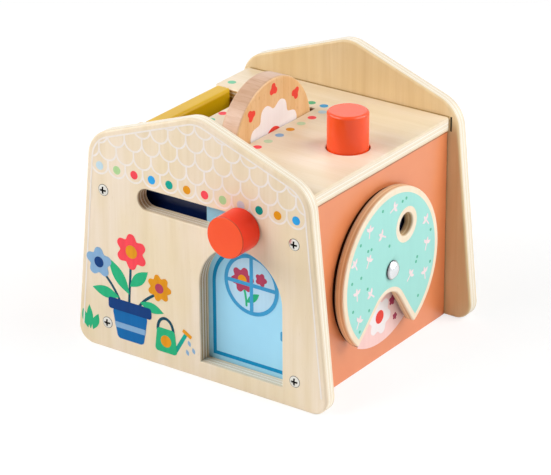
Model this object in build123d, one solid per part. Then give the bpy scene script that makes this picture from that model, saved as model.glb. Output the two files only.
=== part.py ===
from build123d import *
import math
import os

# Gables, the two end boards of the house
FLOOR_WIDTH = 200.0
EAVES_WIDTH = 170.4
EAVES_HEIGHT = 149.3
PEAK_HEIGHT = 180.0
HOUSE_DEPTH = 178.0
GABLE_THICK = 9.6
FOOT_RADIUS = 11.5
EAVES_RADIUS = 22.0
PEAK_RADIUS = 22.0
GABLE_EDGE_ROUND = 1.5

# Walls, flat roof board and base board between the gables
WALL_SPAN = 158.2
WALL_THICK = 9.2
WALL_EDGE_ROUND = 1.2
ROOF_TOP = 143.0
ROOF_THICK = 9.2
ROOF_OVERHANG = 1.7
ROOF_CORNER_RADIUS = 2.5
ROOF_EDGE_ROUND = 1.0
ROOF_END_GAP = 0.8
BASE_THICK = 7.0
FIT_GAP = 0.05

# Front doorway and the knob's slot above it
ARCH_WIDTH = 64.0
ARCH_SILL = 12.0
ARCH_WALL_LAP = 4.9
ARCH_SLOT_WEB = 8.6
SLOT_LENGTH = 94.2
SLOT_HEIGHT = 15.0
SLOT_DROP = 19.4
OPENING_EDGE_ROUND = 0.6

# Sliding door, its pocket and its knob
DOOR_THICK = 5.0
DOOR_SIDE_GAP = 0.5
DOOR_END_GAP = 0.5
DOOR_LAP = 0.6
DOOR_HEAD_LAP = 4.1
DOOR_SLIDE_GAP = 0.3
DOOR_CORNER_RADIUS = 2.0
RAIL_HEIGHT = 3.0
BACKDROP_THICK = 4.0
KNOB_FROM_EDGE = 35.2
KNOB_DIA = 27.6
KNOB_LENGTH = 18.0
KNOB_GAP = 0.6
KNOB_NECK_DIA = 12.0
KNOB_EDGE_ROUND = 0.8
KNOB_SCREW_DIA = 3.5
KNOB_SCREW_LENGTH = 20.0
KNOB_SCREW_HEAD_DIA = 7.0
KNOB_SCREW_DOME = 0.1

# Turning wheel on the right wall
WHEEL_AXIS_Z = 65.8
WHEEL_RADIUS = 55.0
WHEEL_THICK = 7.0
WHEEL_STANDOFF = 2.0
WHEEL_EDGE_ROUND = 0.9
NOTCH_START = 6.5
NOTCH_ANGLE = 82.0
NOTCH_TURN = -6.6
NOTCH_ROOT_RADIUS = 17.5
NOTCH_TIP_RADIUS = 1.5
FINGER_HOLE_RADIUS = 7.8
FINGER_HOLE_REACH = 30.6
FINGER_HOLE_ANGLE = 57.0
BOLT_DIA = 6.0
BOLT_HEAD_DIA = 13.0
BOLT_HEAD_HEIGHT = 4.0
BOLT_HEAD_RIM = 0.7
BOLT_TAIL = 1.0
RUNNING_GAP = 0.06
FACE_GAP = 0.3
SPACER_DIA = 18.0
WASHER_DIA = 14.0
WASHER_THICK = 1.2
NUT_ACROSS_FLATS = 10.0
NUT_SIDES = 6
NUT_THICK = 5.0

# Turning disc that stands half out of the roof
DISC_RADIUS = 42.2
DISC_THICK = 14.0
DISC_FACE_X = -1.0
DISC_AXIS_Y = -4.0
DISC_SIDE_GAP = 1.0
DISC_END_GAP = 0.5
DISC_SLOT_SPARE = 2.8
DISC_EDGE_ROUND = 1.5
AXLE_DIA = 5.0
AXLE_SEAT = 15.0
CLAMP_WIDTH = 12.0
CLAMP_LENGTH = 36.0
CLAMP_THICK = 5.0
CLAMP_SETBACK = 1.5
CLAMP_SCREW_SPREAD = 24.0
SMALL_SCREW_DIA = 3.0
SMALL_SCREW_HEAD_DIA = 5.6
SMALL_SCREW_BITE = 6.0

# Spring button that stands up through the roof
BUTTON_DIA = 27.0
BUTTON_HEIGHT = 25.2
BUTTON_TRAVEL = 14.0
BUTTON_EDGE_ROUND = 2.0
BUTTON_HOLE_GAP = 1.0
BUTTON_WALL_GAP = 1.9
BUTTON_Y = -1.0
BUTTON_SKIRT = 31.0
BUTTON_BOTTOM_GAP = 3.0
STOP_PIN_DIA = 4.0
STOP_PIN_REACH = 3.5
SPRING_BORE_DIA = 16.0
SPRING_BORE_DEPTH = 27.0
SPRING_DIA = 14.0
SPRING_WIRE = 1.4
SPRING_TURNS = 8
GUIDE_DIA = 9.0
GUIDE_HEIGHT = 25.0
GUIDE_SEAT = 5.0
CHEEK_THICK = 8.0
CHEEK_GAP = 2.0
SHELF_THICK = 8.0
SHELF_LEFT_REACH = 15.0

# Drop flap in the left wall and the finger notch behind it
FLAP_LENGTH = 78.0
FLAP_THICK = 12.4
FLAP_PIVOT_Z = 58.0
FLAP_PIVOT_INSET = 3.6
FLAP_SIDE_GAP = 0.6
FLAP_FOOT_GAP = 0.5
FLAP_EDGE_ROUND = 2.4
FLAP_PIN_DIA = 4.0
FLAP_PIN_SEAT = 10.0
FINGER_GAP = 16.7
FINGER_GAP_RADIUS = 9.0
NOTCH_MOUTH_RADIUS = 2.5
FLAP_STOP_THICK = 8.0
FLAP_STOP_HEIGHT = 16.0
FLAP_STOP_LAP = 4.0
FLAP_STOP_GLUE = 11.0
FLAP_STOP_DROP = 5.8

# Screws and dowels of the shell
SCREW_DIA = 3.8
SCREW_HEAD_DIA = 8.0
SCREW_LENGTH = 30.0
SCREW_DOME = 0.9
SCREW_LOW_Z = 19.0
SCREW_HIGH_DROP = 20.8
SCREW_TIP = 2.5
CROSS_WIDTH = 1.1
CROSS_DEPTH = 1.4
CROSS_SHARE = 0.62
DOWEL_DIA = 5.0
DOWEL_IN_WALL = 15.0
DOWEL_IN_ROOF = 5.0
DOWEL_Y = 62.0
BASE_DOWEL_DIA = 4.0
BASE_DOWEL_IN_WALL = 5.0
BASE_DOWEL_IN_BASE = 12.0

# Planes and lines that several pieces share
FRONT_Y = -HOUSE_DEPTH / 2
BACK_Y = HOUSE_DEPTH / 2
ROOM_FRONT = FRONT_Y + GABLE_THICK
ROOM_BACK = BACK_Y - GABLE_THICK
WALL_OUT = WALL_SPAN / 2
WALL_IN = WALL_OUT - WALL_THICK
WALL_MID = WALL_OUT - WALL_THICK / 2
WALL_TOP = ROOF_TOP - ROOF_THICK
SCREW_HIGH_Z = WALL_TOP - SCREW_HIGH_DROP
SCREW_SPOTS = [(side * WALL_MID, z) for side in (-1, 1) for z in (SCREW_LOW_Z, SCREW_HIGH_Z)]

SLOT_Z = WALL_TOP - SLOT_DROP
ARCH_RIGHT = WALL_IN - ARCH_WALL_LAP
ARCH_LEFT = ARCH_RIGHT - ARCH_WIDTH
ARCH_X = ARCH_RIGHT - ARCH_WIDTH / 2
ARCH_SPRING_Z = SLOT_Z - SLOT_HEIGHT / 2 - ARCH_SLOT_WEB - ARCH_WIDTH / 2

DOOR_FRONT = ROOM_FRONT + DOOR_SIDE_GAP
DOOR_BACK = DOOR_FRONT + DOOR_THICK
BACKDROP_FRONT = DOOR_BACK + DOOR_SIDE_GAP
BACKDROP_BACK = BACKDROP_FRONT + BACKDROP_THICK
DOOR_RIGHT = WALL_IN - DOOR_END_GAP
DOOR_LEFT = ARCH_LEFT - DOOR_LAP
DOOR_FOOT = BASE_THICK + RAIL_HEIGHT + DOOR_SLIDE_GAP
DOOR_HEAD = SLOT_Z + SLOT_HEIGHT / 2 + DOOR_HEAD_LAP
DOOR_TRAVEL = DOOR_LEFT + DOOR_RIGHT
KNOB_X = DOOR_LEFT + KNOB_FROM_EDGE
KNOB_BACK = FRONT_Y - KNOB_GAP

WHEEL_BACK = WALL_OUT + WHEEL_STANDOFF
WHEEL_FACE = WHEEL_BACK + WHEEL_THICK
SPACER_THICK = WHEEL_STANDOFF - FACE_GAP
BOLT_HEAD_X = WHEEL_FACE + FACE_GAP
BOLT_END_X = WALL_IN - WASHER_THICK - NUT_THICK - BOLT_TAIL

DISC_BACK_X = DISC_FACE_X - DISC_THICK
DISC_AXIS_Z = WALL_TOP + AXLE_DIA / 2
DISC_SLOT_RIGHT = DISC_FACE_X + DISC_SIDE_GAP
DISC_SLOT_LEFT = DISC_BACK_X - DISC_SIDE_GAP
AXLE_RIGHT = DISC_SLOT_RIGHT + AXLE_SEAT
AXLE_LEFT = DISC_SLOT_LEFT - AXLE_SEAT

BUTTON_RADIUS = BUTTON_DIA / 2
BUTTON_X = WALL_IN - BUTTON_WALL_GAP - BUTTON_RADIUS
BUTTON_TOP = ROOF_TOP + BUTTON_HEIGHT
STOP_PIN_Z = WALL_TOP - FACE_GAP - STOP_PIN_DIA / 2
STOP_PIN_HALF = BUTTON_RADIUS + STOP_PIN_REACH
BUTTON_FOOT = STOP_PIN_Z - BUTTON_SKIRT
SHELF_TOP = BUTTON_FOOT - BUTTON_TRAVEL - BUTTON_BOTTOM_GAP
SHELF_LEFT = BUTTON_X - SHELF_LEFT_REACH
SHELF_RIGHT = BOLT_END_X - BUTTON_WALL_GAP
SPRING_TOP = BUTTON_FOOT + SPRING_BORE_DEPTH
CHEEK_INNER = STOP_PIN_HALF + CHEEK_GAP

FLAP_OUT = -WALL_OUT
FLAP_IN = FLAP_OUT + FLAP_THICK
FLAP_PIVOT_X = FLAP_OUT + FLAP_PIVOT_INSET
FLAP_FOOT = FLAP_PIVOT_Z - FLAP_PIVOT_INSET
FLAP_HALF = FLAP_LENGTH / 2
CUTOUT_HALF = FLAP_HALF + FLAP_SIDE_GAP
CUTOUT_FOOT = FLAP_FOOT - FLAP_FOOT_GAP


# Building blocks
def block(x, y, z):
    """A box between two values along each axis."""
    centre = Pos((x[0] + x[1]) / 2, (y[0] + y[1]) / 2, (z[0] + z[1]) / 2)
    return centre * Box(x[1] - x[0], y[1] - y[0], z[1] - z[0])


def rod(start, direction, radius, length):
    """A round bar from a start point along a direction."""
    low_end = (Align.CENTER, Align.CENTER, Align.MIN)
    return Plane(origin=start, z_dir=direction) * Cylinder(radius, length, align=low_end)


def facing_front(sketch, front, thickness):
    """An outline in X and Z made a board between two depths."""
    return Pos(0, front + thickness, 0) * extrude(Plane.XZ * sketch, amount=thickness)


def facing_side(sketch, left, thickness):
    """An outline in Y and Z made a board between two values of X."""
    return Pos(left, 0, 0) * extrude(Plane.YZ * sketch, amount=thickness)


def cap_arc(radius, height):
    """The profile of a round cap, from its rim at height 0 up to its crown."""
    ball = (radius**2 + height**2) / (2 * height)
    half = math.asin(radius / ball) / 2
    middle = (ball * math.sin(half), height - ball + ball * math.cos(half))
    return ThreePointArc((radius, 0), middle, (0, height))


def cross_screw(head_dia, shank_dia, length, dome):
    """A countersunk screw with a cross recess, head up, with its rim at height 0."""
    head_r = head_dia / 2
    shank_r = shank_dia / 2
    sink = head_r - shank_r
    cap = cap_arc(head_r, dome)
    side = Polyline(
        (0, dome),
        (0, -length),
        (shank_r, SCREW_TIP - length),
        (shank_r, -sink),
        (head_r, 0),
    )
    body = revolve(Plane.XZ * make_face(Curve() + [side, cap]), Axis.Z)
    reach = head_dia * CROSS_SHARE
    recess = Box(reach, CROSS_WIDTH, 2 * CROSS_DEPTH) + Box(CROSS_WIDTH, reach, 2 * CROSS_DEPTH)
    return body - Pos(0, 0, dome) * recess


def screw_bore(head_dia, shank_dia, length):
    """The hole that a countersunk screw fits, with its mouth at height 0."""
    head_r = head_dia / 2 + FIT_GAP
    shank_r = shank_dia / 2 + FIT_GAP
    outline = Polyline(
        (0, 0),
        (head_r, 0),
        (shank_r, shank_r - head_r),
        (shank_r, -length - FIT_GAP),
        (0, -length - FIT_GAP),
        close=True,
    )
    return revolve(Plane.XZ * make_face(outline), Axis.Z)


def on_gables(piece, front):
    """Copies of an upright screw or bore at the four screw places of a gable."""
    face_y = FRONT_Y if front else BACK_Y
    turn = Rot(90, 0, 0) if front else Rot(-90, 0, 0)
    return [Pos(x, face_y, z) * turn * piece for x, z in SCREW_SPOTS]


def gable_bores(front):
    """The screw holes through one gable and into the walls."""
    return on_gables(screw_bore(SCREW_HEAD_DIA, SCREW_DIA, SCREW_LENGTH), front)


# Shell of the house
def gable_outline():
    """House-shaped outline with rounded feet, eaves and peak."""
    floor = FLOOR_WIDTH / 2
    eaves = EAVES_WIDTH / 2
    corners = [(-floor, 0), (floor, 0), (eaves, EAVES_HEIGHT), (0, PEAK_HEIGHT), (-eaves, EAVES_HEIGHT)]
    radii = [FOOT_RADIUS, FOOT_RADIUS, EAVES_RADIUS, PEAK_RADIUS, EAVES_RADIUS]
    outline = make_face(Polyline(*corners, close=True))
    for corner, radius in zip(corners, radii):
        outline = fillet(outline.vertices().sort_by_distance(corner)[:1], radius)
    return outline


def gable_board(front):
    """A gable board with softened outer edges."""
    board = facing_front(gable_outline(), front, GABLE_THICK)
    rims = board.faces().filter_by(Axis.Y).edges()
    return fillet(rims, GABLE_EDGE_ROUND)


def make_front_gable():
    """Front gable with its arched doorway, knob slot, their softened front rims and screw holes."""
    height = ARCH_SPRING_Z - ARCH_SILL
    opening = Pos(ARCH_X, ARCH_SILL + height / 2) * Rectangle(ARCH_WIDTH, height)
    opening += Pos(ARCH_X, ARCH_SPRING_Z) * Circle(ARCH_WIDTH / 2)
    opening += Pos(0, SLOT_Z) * SlotOverall(SLOT_LENGTH, SLOT_HEIGHT)
    board = gable_board(FRONT_Y) - facing_front(opening, FRONT_Y, GABLE_THICK)
    front_face = board.faces().sort_by(Axis.Y)[0]
    board = fillet(front_face.inner_wires().edges(), OPENING_EDGE_ROUND)
    return board - gable_bores(True)


def make_back_gable():
    """Plain back gable with its screw holes."""
    return gable_board(ROOM_BACK) - gable_bores(False)


def roof_dowel_spots():
    """Places of the upright dowels that join the roof board to the walls."""
    return [(x, y) for x in (-WALL_MID, WALL_MID) for y in (-DOWEL_Y, DOWEL_Y)]


def roof_dowel(gap):
    """One upright dowel, or with a gap the hole for it."""
    low = (0, 0, WALL_TOP - DOWEL_IN_WALL - gap)
    return rod(low, (0, 0, 1), DOWEL_DIA / 2 + gap, DOWEL_IN_WALL + DOWEL_IN_ROOF + 2 * gap)


def base_dowel(side, gap):
    """One level dowel between a wall and the base board, or with a gap its hole."""
    start = (side * (WALL_IN + BASE_DOWEL_IN_WALL + gap), 0, BASE_THICK / 2)
    length = BASE_DOWEL_IN_WALL + BASE_DOWEL_IN_BASE + 2 * gap
    return rod(start, (-side, 0, 0), BASE_DOWEL_DIA / 2 + gap, length)


def base_dowels(gap):
    """All the dowels of the base board, or with a gap their holes."""
    return [Pos(0, y, 0) * base_dowel(side, gap) for side in (-1, 1) for y in (-DOWEL_Y, DOWEL_Y)]


def make_roof_board():
    """Flat roof board with the disc slot, button hole, finger notch and axle groove.

    It rests on the walls and stops a little short of both gables.
    """
    width = WALL_SPAN + 2 * ROOF_OVERHANG
    length = ROOM_BACK - ROOM_FRONT - 2 * ROOF_END_GAP
    outline = RectangleRounded(width, length, ROOF_CORNER_RADIUS)
    board = Pos(0, 0, WALL_TOP) * extrude(outline, amount=ROOF_THICK)
    rims = board.faces().filter_by(Axis.Z).edges()
    board = fillet(rims, ROOF_EDGE_ROUND)

    notch_right = FLAP_IN + FINGER_GAP
    notch_left = -width
    notch = Pos((notch_left + notch_right) / 2, 0)
    notch = notch * RectangleRounded(notch_right - notch_left, 2 * CUTOUT_HALF, FINGER_GAP_RADIUS)
    slot_mid = (DISC_SLOT_LEFT + DISC_SLOT_RIGHT) / 2
    slot_length = 2 * (DISC_RADIUS + DISC_END_GAP) + DISC_SLOT_SPARE
    slot = Pos(slot_mid, DISC_AXIS_Y + DISC_SLOT_SPARE / 2)
    slot = slot * Rectangle(DISC_SLOT_RIGHT - DISC_SLOT_LEFT, slot_length)
    hole = Pos(BUTTON_X, BUTTON_Y) * Circle(BUTTON_RADIUS + BUTTON_HOLE_GAP)
    board -= Pos(0, 0, WALL_TOP) * extrude(notch + slot + hole, amount=ROOF_THICK)
    mouth = [e for e in board.edges().filter_by(Axis.Z) if e.center().X < FLAP_IN and abs(e.center().Y) < DOWEL_Y]
    board = fillet(mouth, NOTCH_MOUTH_RADIUS)

    groove_r = AXLE_DIA / 2 + FIT_GAP
    left = AXLE_LEFT - FIT_GAP
    right = AXLE_RIGHT + FIT_GAP
    board -= rod((left, DISC_AXIS_Y, DISC_AXIS_Z), (1, 0, 0), groove_r, right - left)
    board -= block((left, right), (DISC_AXIS_Y - groove_r, DISC_AXIS_Y + groove_r), (WALL_TOP, DISC_AXIS_Z))
    board -= [Pos(x, y, 0) * roof_dowel(FIT_GAP) for x, y in roof_dowel_spots()]
    return board - clamp_screw_bores()


def wall_with_joinery(side):
    """A side wall with softened outer edges and the holes for its screws and dowels."""
    x = sorted((side * WALL_IN, side * WALL_OUT))
    wall = block(x, (ROOM_FRONT, ROOM_BACK), (0, WALL_TOP))
    outer_face = wall.faces().sort_by(Axis.X)[-1 if side > 0 else 0]
    wall = fillet(outer_face.edges(), WALL_EDGE_ROUND)
    wall -= gable_bores(True) + gable_bores(False) + base_dowels(FIT_GAP)
    return wall - [Pos(a, b, 0) * roof_dowel(FIT_GAP) for a, b in roof_dowel_spots()]


def make_right_wall():
    """Right wall with the bolt hole of the wheel."""
    bore = rod((WALL_IN, 0, WHEEL_AXIS_Z), (1, 0, 0), BOLT_DIA / 2 + FIT_GAP, WALL_THICK)
    return wall_with_joinery(1) - bore


def make_left_wall():
    """Left wall with the flap's opening and the holes for its hinge pins."""
    opening = block((-WALL_OUT, -WALL_IN), (-CUTOUT_HALF, CUTOUT_HALF), (CUTOUT_FOOT, WALL_TOP))
    return wall_with_joinery(-1) - opening - flap_pins(FIT_GAP, FIT_GAP)


def make_base_board():
    """Base board between the walls and the gables."""
    board = block((-WALL_IN, WALL_IN), (ROOM_FRONT, ROOM_BACK), (0, BASE_THICK))
    return board - base_dowels(FIT_GAP)


# Sliding door
def make_backdrop_board():
    """Thin board behind the door's pocket."""
    return block((-WALL_IN, WALL_IN), (BACKDROP_FRONT, BACKDROP_BACK), (BASE_THICK, WALL_TOP))


def door_rail(low, high):
    """A spacer strip that closes the door's pocket above or below the door."""
    return block((-WALL_IN, WALL_IN), (ROOM_FRONT, BACKDROP_FRONT), (low, high))


def knob_screw_at_door(piece):
    """A screw or its hole, laid with its head at the door's back face."""
    return Pos(KNOB_X, DOOR_BACK, SLOT_Z) * Rot(-90, 0, 0) * piece


def make_sliding_door():
    """Door panel with rounded corners and the hole for the knob's screw."""
    width = DOOR_RIGHT - DOOR_LEFT
    height = DOOR_HEAD - DOOR_FOOT
    centre = Pos(DOOR_LEFT + width / 2, DOOR_FOOT + height / 2)
    panel = facing_front(centre * RectangleRounded(width, height, DOOR_CORNER_RADIUS), DOOR_FRONT, DOOR_THICK)
    return panel - knob_screw_at_door(screw_bore(KNOB_SCREW_HEAD_DIA, KNOB_SCREW_DIA, KNOB_SCREW_LENGTH))


def make_door_knob():
    """Turned knob with a neck that passes through the slot to the door."""
    head = rod((KNOB_X, KNOB_BACK, SLOT_Z), (0, -1, 0), KNOB_DIA / 2, KNOB_LENGTH)
    head = fillet(head.edges().filter_by(GeomType.CIRCLE), KNOB_EDGE_ROUND)
    neck = rod((KNOB_X, DOOR_FRONT, SLOT_Z), (0, -1, 0), KNOB_NECK_DIA / 2, DOOR_FRONT - KNOB_BACK)
    knob = head + neck
    return knob - knob_screw_at_door(screw_bore(KNOB_SCREW_HEAD_DIA, KNOB_SCREW_DIA, KNOB_SCREW_LENGTH))


# Wheel on the right wall
def wheel_outline():
    """Round outline with a wedge-shaped notch whose root is widely rounded."""
    half = math.radians(NOTCH_ANGLE / 2)
    long_side = 2 * WHEEL_RADIUS
    apex = (0, -NOTCH_START)
    left = (-long_side * math.sin(half), -NOTCH_START - long_side * math.cos(half))
    right = (long_side * math.sin(half), -NOTCH_START - long_side * math.cos(half))
    wedge = make_face(Polyline(apex, left, right, close=True))
    wedge = fillet(wedge.vertices().sort_by(Axis.Y)[-1:], NOTCH_ROOT_RADIUS)
    outline = Circle(WHEEL_RADIUS) - wedge
    rim_tips = [v for v in outline.vertices() if math.hypot(v.X, v.Y) > WHEEL_RADIUS - NOTCH_TIP_RADIUS]
    rim_tips = [v for v in rim_tips if v.Y < 0]
    return Rot(0, 0, NOTCH_TURN) * fillet(rim_tips, NOTCH_TIP_RADIUS)


def make_side_wheel():
    """Wheel with its notch, finger hole and bolt bore."""
    wheel = facing_side(wheel_outline(), WHEEL_BACK, WHEEL_THICK)
    angle = math.radians(FINGER_HOLE_ANGLE)
    hole_y = FINGER_HOLE_REACH * math.cos(angle)
    hole_z = FINGER_HOLE_REACH * math.sin(angle)
    wheel -= rod((WHEEL_BACK, hole_y, hole_z), (1, 0, 0), FINGER_HOLE_RADIUS, WHEEL_THICK)
    rims = wheel.faces().filter_by(Axis.X).edges()
    wheel = fillet(rims, WHEEL_EDGE_ROUND)
    wheel -= rod((WHEEL_BACK, 0, 0), (1, 0, 0), BOLT_DIA / 2 + RUNNING_GAP, WHEEL_THICK)
    return Pos(0, 0, WHEEL_AXIS_Z) * wheel


def make_wheel_bolt():
    """Dome-headed bolt that is the wheel's axle."""
    head_r = BOLT_HEAD_DIA / 2
    shank_r = BOLT_DIA / 2
    length = BOLT_HEAD_X - BOLT_END_X
    cap = Pos(0, BOLT_HEAD_RIM) * cap_arc(head_r, BOLT_HEAD_HEIGHT - BOLT_HEAD_RIM)
    side = Polyline(
        (0, BOLT_HEAD_HEIGHT),
        (0, -length),
        (shank_r, -length),
        (shank_r, 0),
        (head_r, 0),
        (head_r, BOLT_HEAD_RIM),
    )
    bolt = revolve(Plane.XZ * make_face(Curve() + [side, cap]), Axis.Z)
    return Pos(BOLT_HEAD_X, 0, WHEEL_AXIS_Z) * Rot(0, 90, 0) * bolt


def ring(x, outer_dia, thickness):
    """A flat washer on the wheel's bolt, from x outwards."""
    washer = rod((x, 0, WHEEL_AXIS_Z), (1, 0, 0), outer_dia / 2, thickness)
    return washer - rod((x, 0, WHEEL_AXIS_Z), (1, 0, 0), BOLT_DIA / 2 + FIT_GAP, thickness)


def make_wheel_nut():
    """Hexagon nut on the bolt, inside the wall."""
    hexagon = RegularPolygon(NUT_ACROSS_FLATS / 2, NUT_SIDES, major_radius=False)
    outline = hexagon - Circle(BOLT_DIA / 2 + FIT_GAP)
    x = WALL_IN - WASHER_THICK - NUT_THICK
    return Pos(0, 0, WHEEL_AXIS_Z) * facing_side(outline, x, NUT_THICK)


# Disc in the roof
def make_top_disc():
    """Thick disc with softened edges and an axle bore."""
    disc = rod((DISC_BACK_X, DISC_AXIS_Y, DISC_AXIS_Z), (1, 0, 0), DISC_RADIUS, DISC_THICK)
    disc = fillet(disc.edges().filter_by(GeomType.CIRCLE), DISC_EDGE_ROUND)
    bore_r = AXLE_DIA / 2 + RUNNING_GAP
    return disc - rod((DISC_BACK_X, DISC_AXIS_Y, DISC_AXIS_Z), (1, 0, 0), bore_r, DISC_THICK)


def make_disc_axle():
    """Steel axle that lies in the groove under the roof board."""
    start = (AXLE_LEFT, DISC_AXIS_Y, DISC_AXIS_Z)
    return rod(start, (1, 0, 0), AXLE_DIA / 2, AXLE_RIGHT - AXLE_LEFT)


def clamp_mid_x(side):
    """Middle of the axle clamp on one side of the disc slot."""
    reach = CLAMP_SETBACK + CLAMP_WIDTH / 2
    return DISC_SLOT_RIGHT + reach if side > 0 else DISC_SLOT_LEFT - reach


def at_clamp_screws(piece, side):
    """Copies of an upright screw or bore at one clamp, heads down."""
    spots = [DISC_AXIS_Y - CLAMP_SCREW_SPREAD / 2, DISC_AXIS_Y + CLAMP_SCREW_SPREAD / 2]
    foot = WALL_TOP - CLAMP_THICK
    return [Pos(clamp_mid_x(side), y, foot) * Rot(180, 0, 0) * piece for y in spots]


def clamp_screw_bores():
    """The holes of all the clamp screws."""
    length = CLAMP_THICK + SMALL_SCREW_BITE
    bore = screw_bore(SMALL_SCREW_HEAD_DIA, SMALL_SCREW_DIA, length)
    return at_clamp_screws(bore, -1) + at_clamp_screws(bore, 1)


def make_axle_clamp(side):
    """A strip under the roof board that holds one end of the axle in its groove."""
    mid = clamp_mid_x(side)
    x = (mid - CLAMP_WIDTH / 2, mid + CLAMP_WIDTH / 2)
    y = (DISC_AXIS_Y - CLAMP_LENGTH / 2, DISC_AXIS_Y + CLAMP_LENGTH / 2)
    return block(x, y, (WALL_TOP - CLAMP_THICK, WALL_TOP)) - clamp_screw_bores()


def make_clamp_screws():
    """The four screws of the axle clamps."""
    screw = cross_screw(SMALL_SCREW_HEAD_DIA, SMALL_SCREW_DIA, CLAMP_THICK + SMALL_SCREW_BITE, SCREW_DOME / 2)
    return at_clamp_screws(screw, -1) + at_clamp_screws(screw, 1)


# Spring button
def stop_pin(gap):
    """The cross pin below the roof board, or with a gap the hole for it."""
    start = (BUTTON_X, BUTTON_Y - STOP_PIN_HALF - gap, STOP_PIN_Z)
    return rod(start, (0, 1, 0), STOP_PIN_DIA / 2 + gap, 2 * STOP_PIN_HALF + 2 * gap)


def make_push_button():
    """Turned button with a rounded top edge and a spring bore from below."""
    body = rod((BUTTON_X, BUTTON_Y, BUTTON_FOOT), (0, 0, 1), BUTTON_RADIUS, BUTTON_TOP - BUTTON_FOOT)
    top_edge = body.edges().filter_by(GeomType.CIRCLE).sort_by(Axis.Z)[-1:]
    body = fillet(top_edge, BUTTON_EDGE_ROUND)
    bore = rod((BUTTON_X, BUTTON_Y, BUTTON_FOOT), (0, 0, 1), SPRING_BORE_DIA / 2, SPRING_BORE_DEPTH)
    return body - bore - stop_pin(FIT_GAP)


def make_button_spring():
    """Coil spring between the shelf and the end of the button's bore."""
    radius = (SPRING_DIA - SPRING_WIRE) / 2
    low = SHELF_TOP + FACE_GAP + SPRING_WIRE / 2
    high = SPRING_TOP - FACE_GAP - SPRING_WIRE / 2
    path = Helix(pitch=(high - low) / SPRING_TURNS, height=high - low, radius=radius)
    start = Plane(origin=path @ 0, z_dir=path % 0)
    coil = sweep(start * Circle(SPRING_WIRE / 2), path=path, is_frenet=True)
    return Pos(BUTTON_X, BUTTON_Y, low) * coil


def guide(gap):
    """The dowel inside the spring, or with a gap its seat in the shelf."""
    start = (BUTTON_X, BUTTON_Y, SHELF_TOP - GUIDE_SEAT - gap)
    return rod(start, (0, 0, 1), GUIDE_DIA / 2 + gap, GUIDE_SEAT + GUIDE_HEIGHT + gap)


def cheek_span(side):
    """The near and far faces of one cheek along Y."""
    faces = (BUTTON_Y + side * CHEEK_INNER, BUTTON_Y + side * (CHEEK_INNER + CHEEK_THICK))
    return sorted(faces)


def shelf_screws(piece):
    """Copies of an upright screw or bore under the shelf, heads down."""
    x = (SHELF_LEFT + SHELF_RIGHT) / 2
    foot = SHELF_TOP - SHELF_THICK
    mids = [sum(cheek_span(side)) / 2 for side in (-1, 1)]
    return [Pos(x, y, foot) * Rot(180, 0, 0) * piece for y in mids]


def shelf_screw_bores():
    """The holes of the shelf screws."""
    return shelf_screws(screw_bore(SMALL_SCREW_HEAD_DIA, SMALL_SCREW_DIA, SHELF_THICK + SMALL_SCREW_BITE))


def make_button_cheek(side):
    """A board beside the button that hangs from the roof and carries the shelf."""
    cheek = block((SHELF_LEFT, WALL_IN), cheek_span(side), (SHELF_TOP, WALL_TOP))
    return cheek - shelf_screw_bores()


def make_button_shelf():
    """The shelf that the spring and its guide stand on."""
    ends = cheek_span(-1) + cheek_span(1)
    shelf = block((SHELF_LEFT, SHELF_RIGHT), (min(ends), max(ends)), (SHELF_TOP - SHELF_THICK, SHELF_TOP))
    return shelf - guide(FIT_GAP) - shelf_screw_bores()


# Drop flap
def flap_pins(gap, end_gap):
    """The two hinge pins of the flap, or with gaps the holes for them."""
    length = 2 * FLAP_PIN_SEAT + FLAP_SIDE_GAP + 2 * end_gap
    inner = FLAP_HALF - FLAP_PIN_SEAT - end_gap
    radius = FLAP_PIN_DIA / 2 + gap
    pins = []
    for side in (-1, 1):
        start = (FLAP_PIVOT_X, side * inner, FLAP_PIVOT_Z)
        pins.append(rod(start, (0, side, 0), radius, length))
    return pins


def make_side_flap():
    """Flap with softened edges and a foot that is round about its hinge pins."""
    flap = block((FLAP_OUT, FLAP_IN), (-FLAP_HALF, FLAP_HALF), (FLAP_FOOT, ROOF_TOP))
    long_edges = flap.edges().filter_by(Axis.Y).sort_by(Axis.Z)
    foot_edge = long_edges[:2].sort_by(Axis.X)[:1]
    flap = fillet(foot_edge, FLAP_PIVOT_INSET - FIT_GAP)
    top_edges = flap.edges().filter_by(Axis.Y).sort_by(Axis.Z)[-2:]
    upright_edges = flap.edges().filter_by(Axis.Z)
    flap = fillet(top_edges + upright_edges, FLAP_EDGE_ROUND)
    return flap - flap_pins(RUNNING_GAP, DOOR_SIDE_GAP)


def make_flap_stops():
    """Two stepped blocks inside the left wall that the closed flap leans on."""
    high = WALL_TOP - FLAP_STOP_DROP
    z = (high - FLAP_STOP_HEIGHT, high)
    step = block((-WALL_IN, FLAP_IN + FACE_GAP), (-CUTOUT_HALF, CUTOUT_HALF), z)
    stops = []
    for side in (-1, 1):
        y = sorted((side * (CUTOUT_HALF - FLAP_STOP_LAP), side * (CUTOUT_HALF + FLAP_STOP_GLUE)))
        stops.append(block((-WALL_IN, FLAP_STOP_THICK - WALL_IN), y, z) - step)
    return stops


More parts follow.
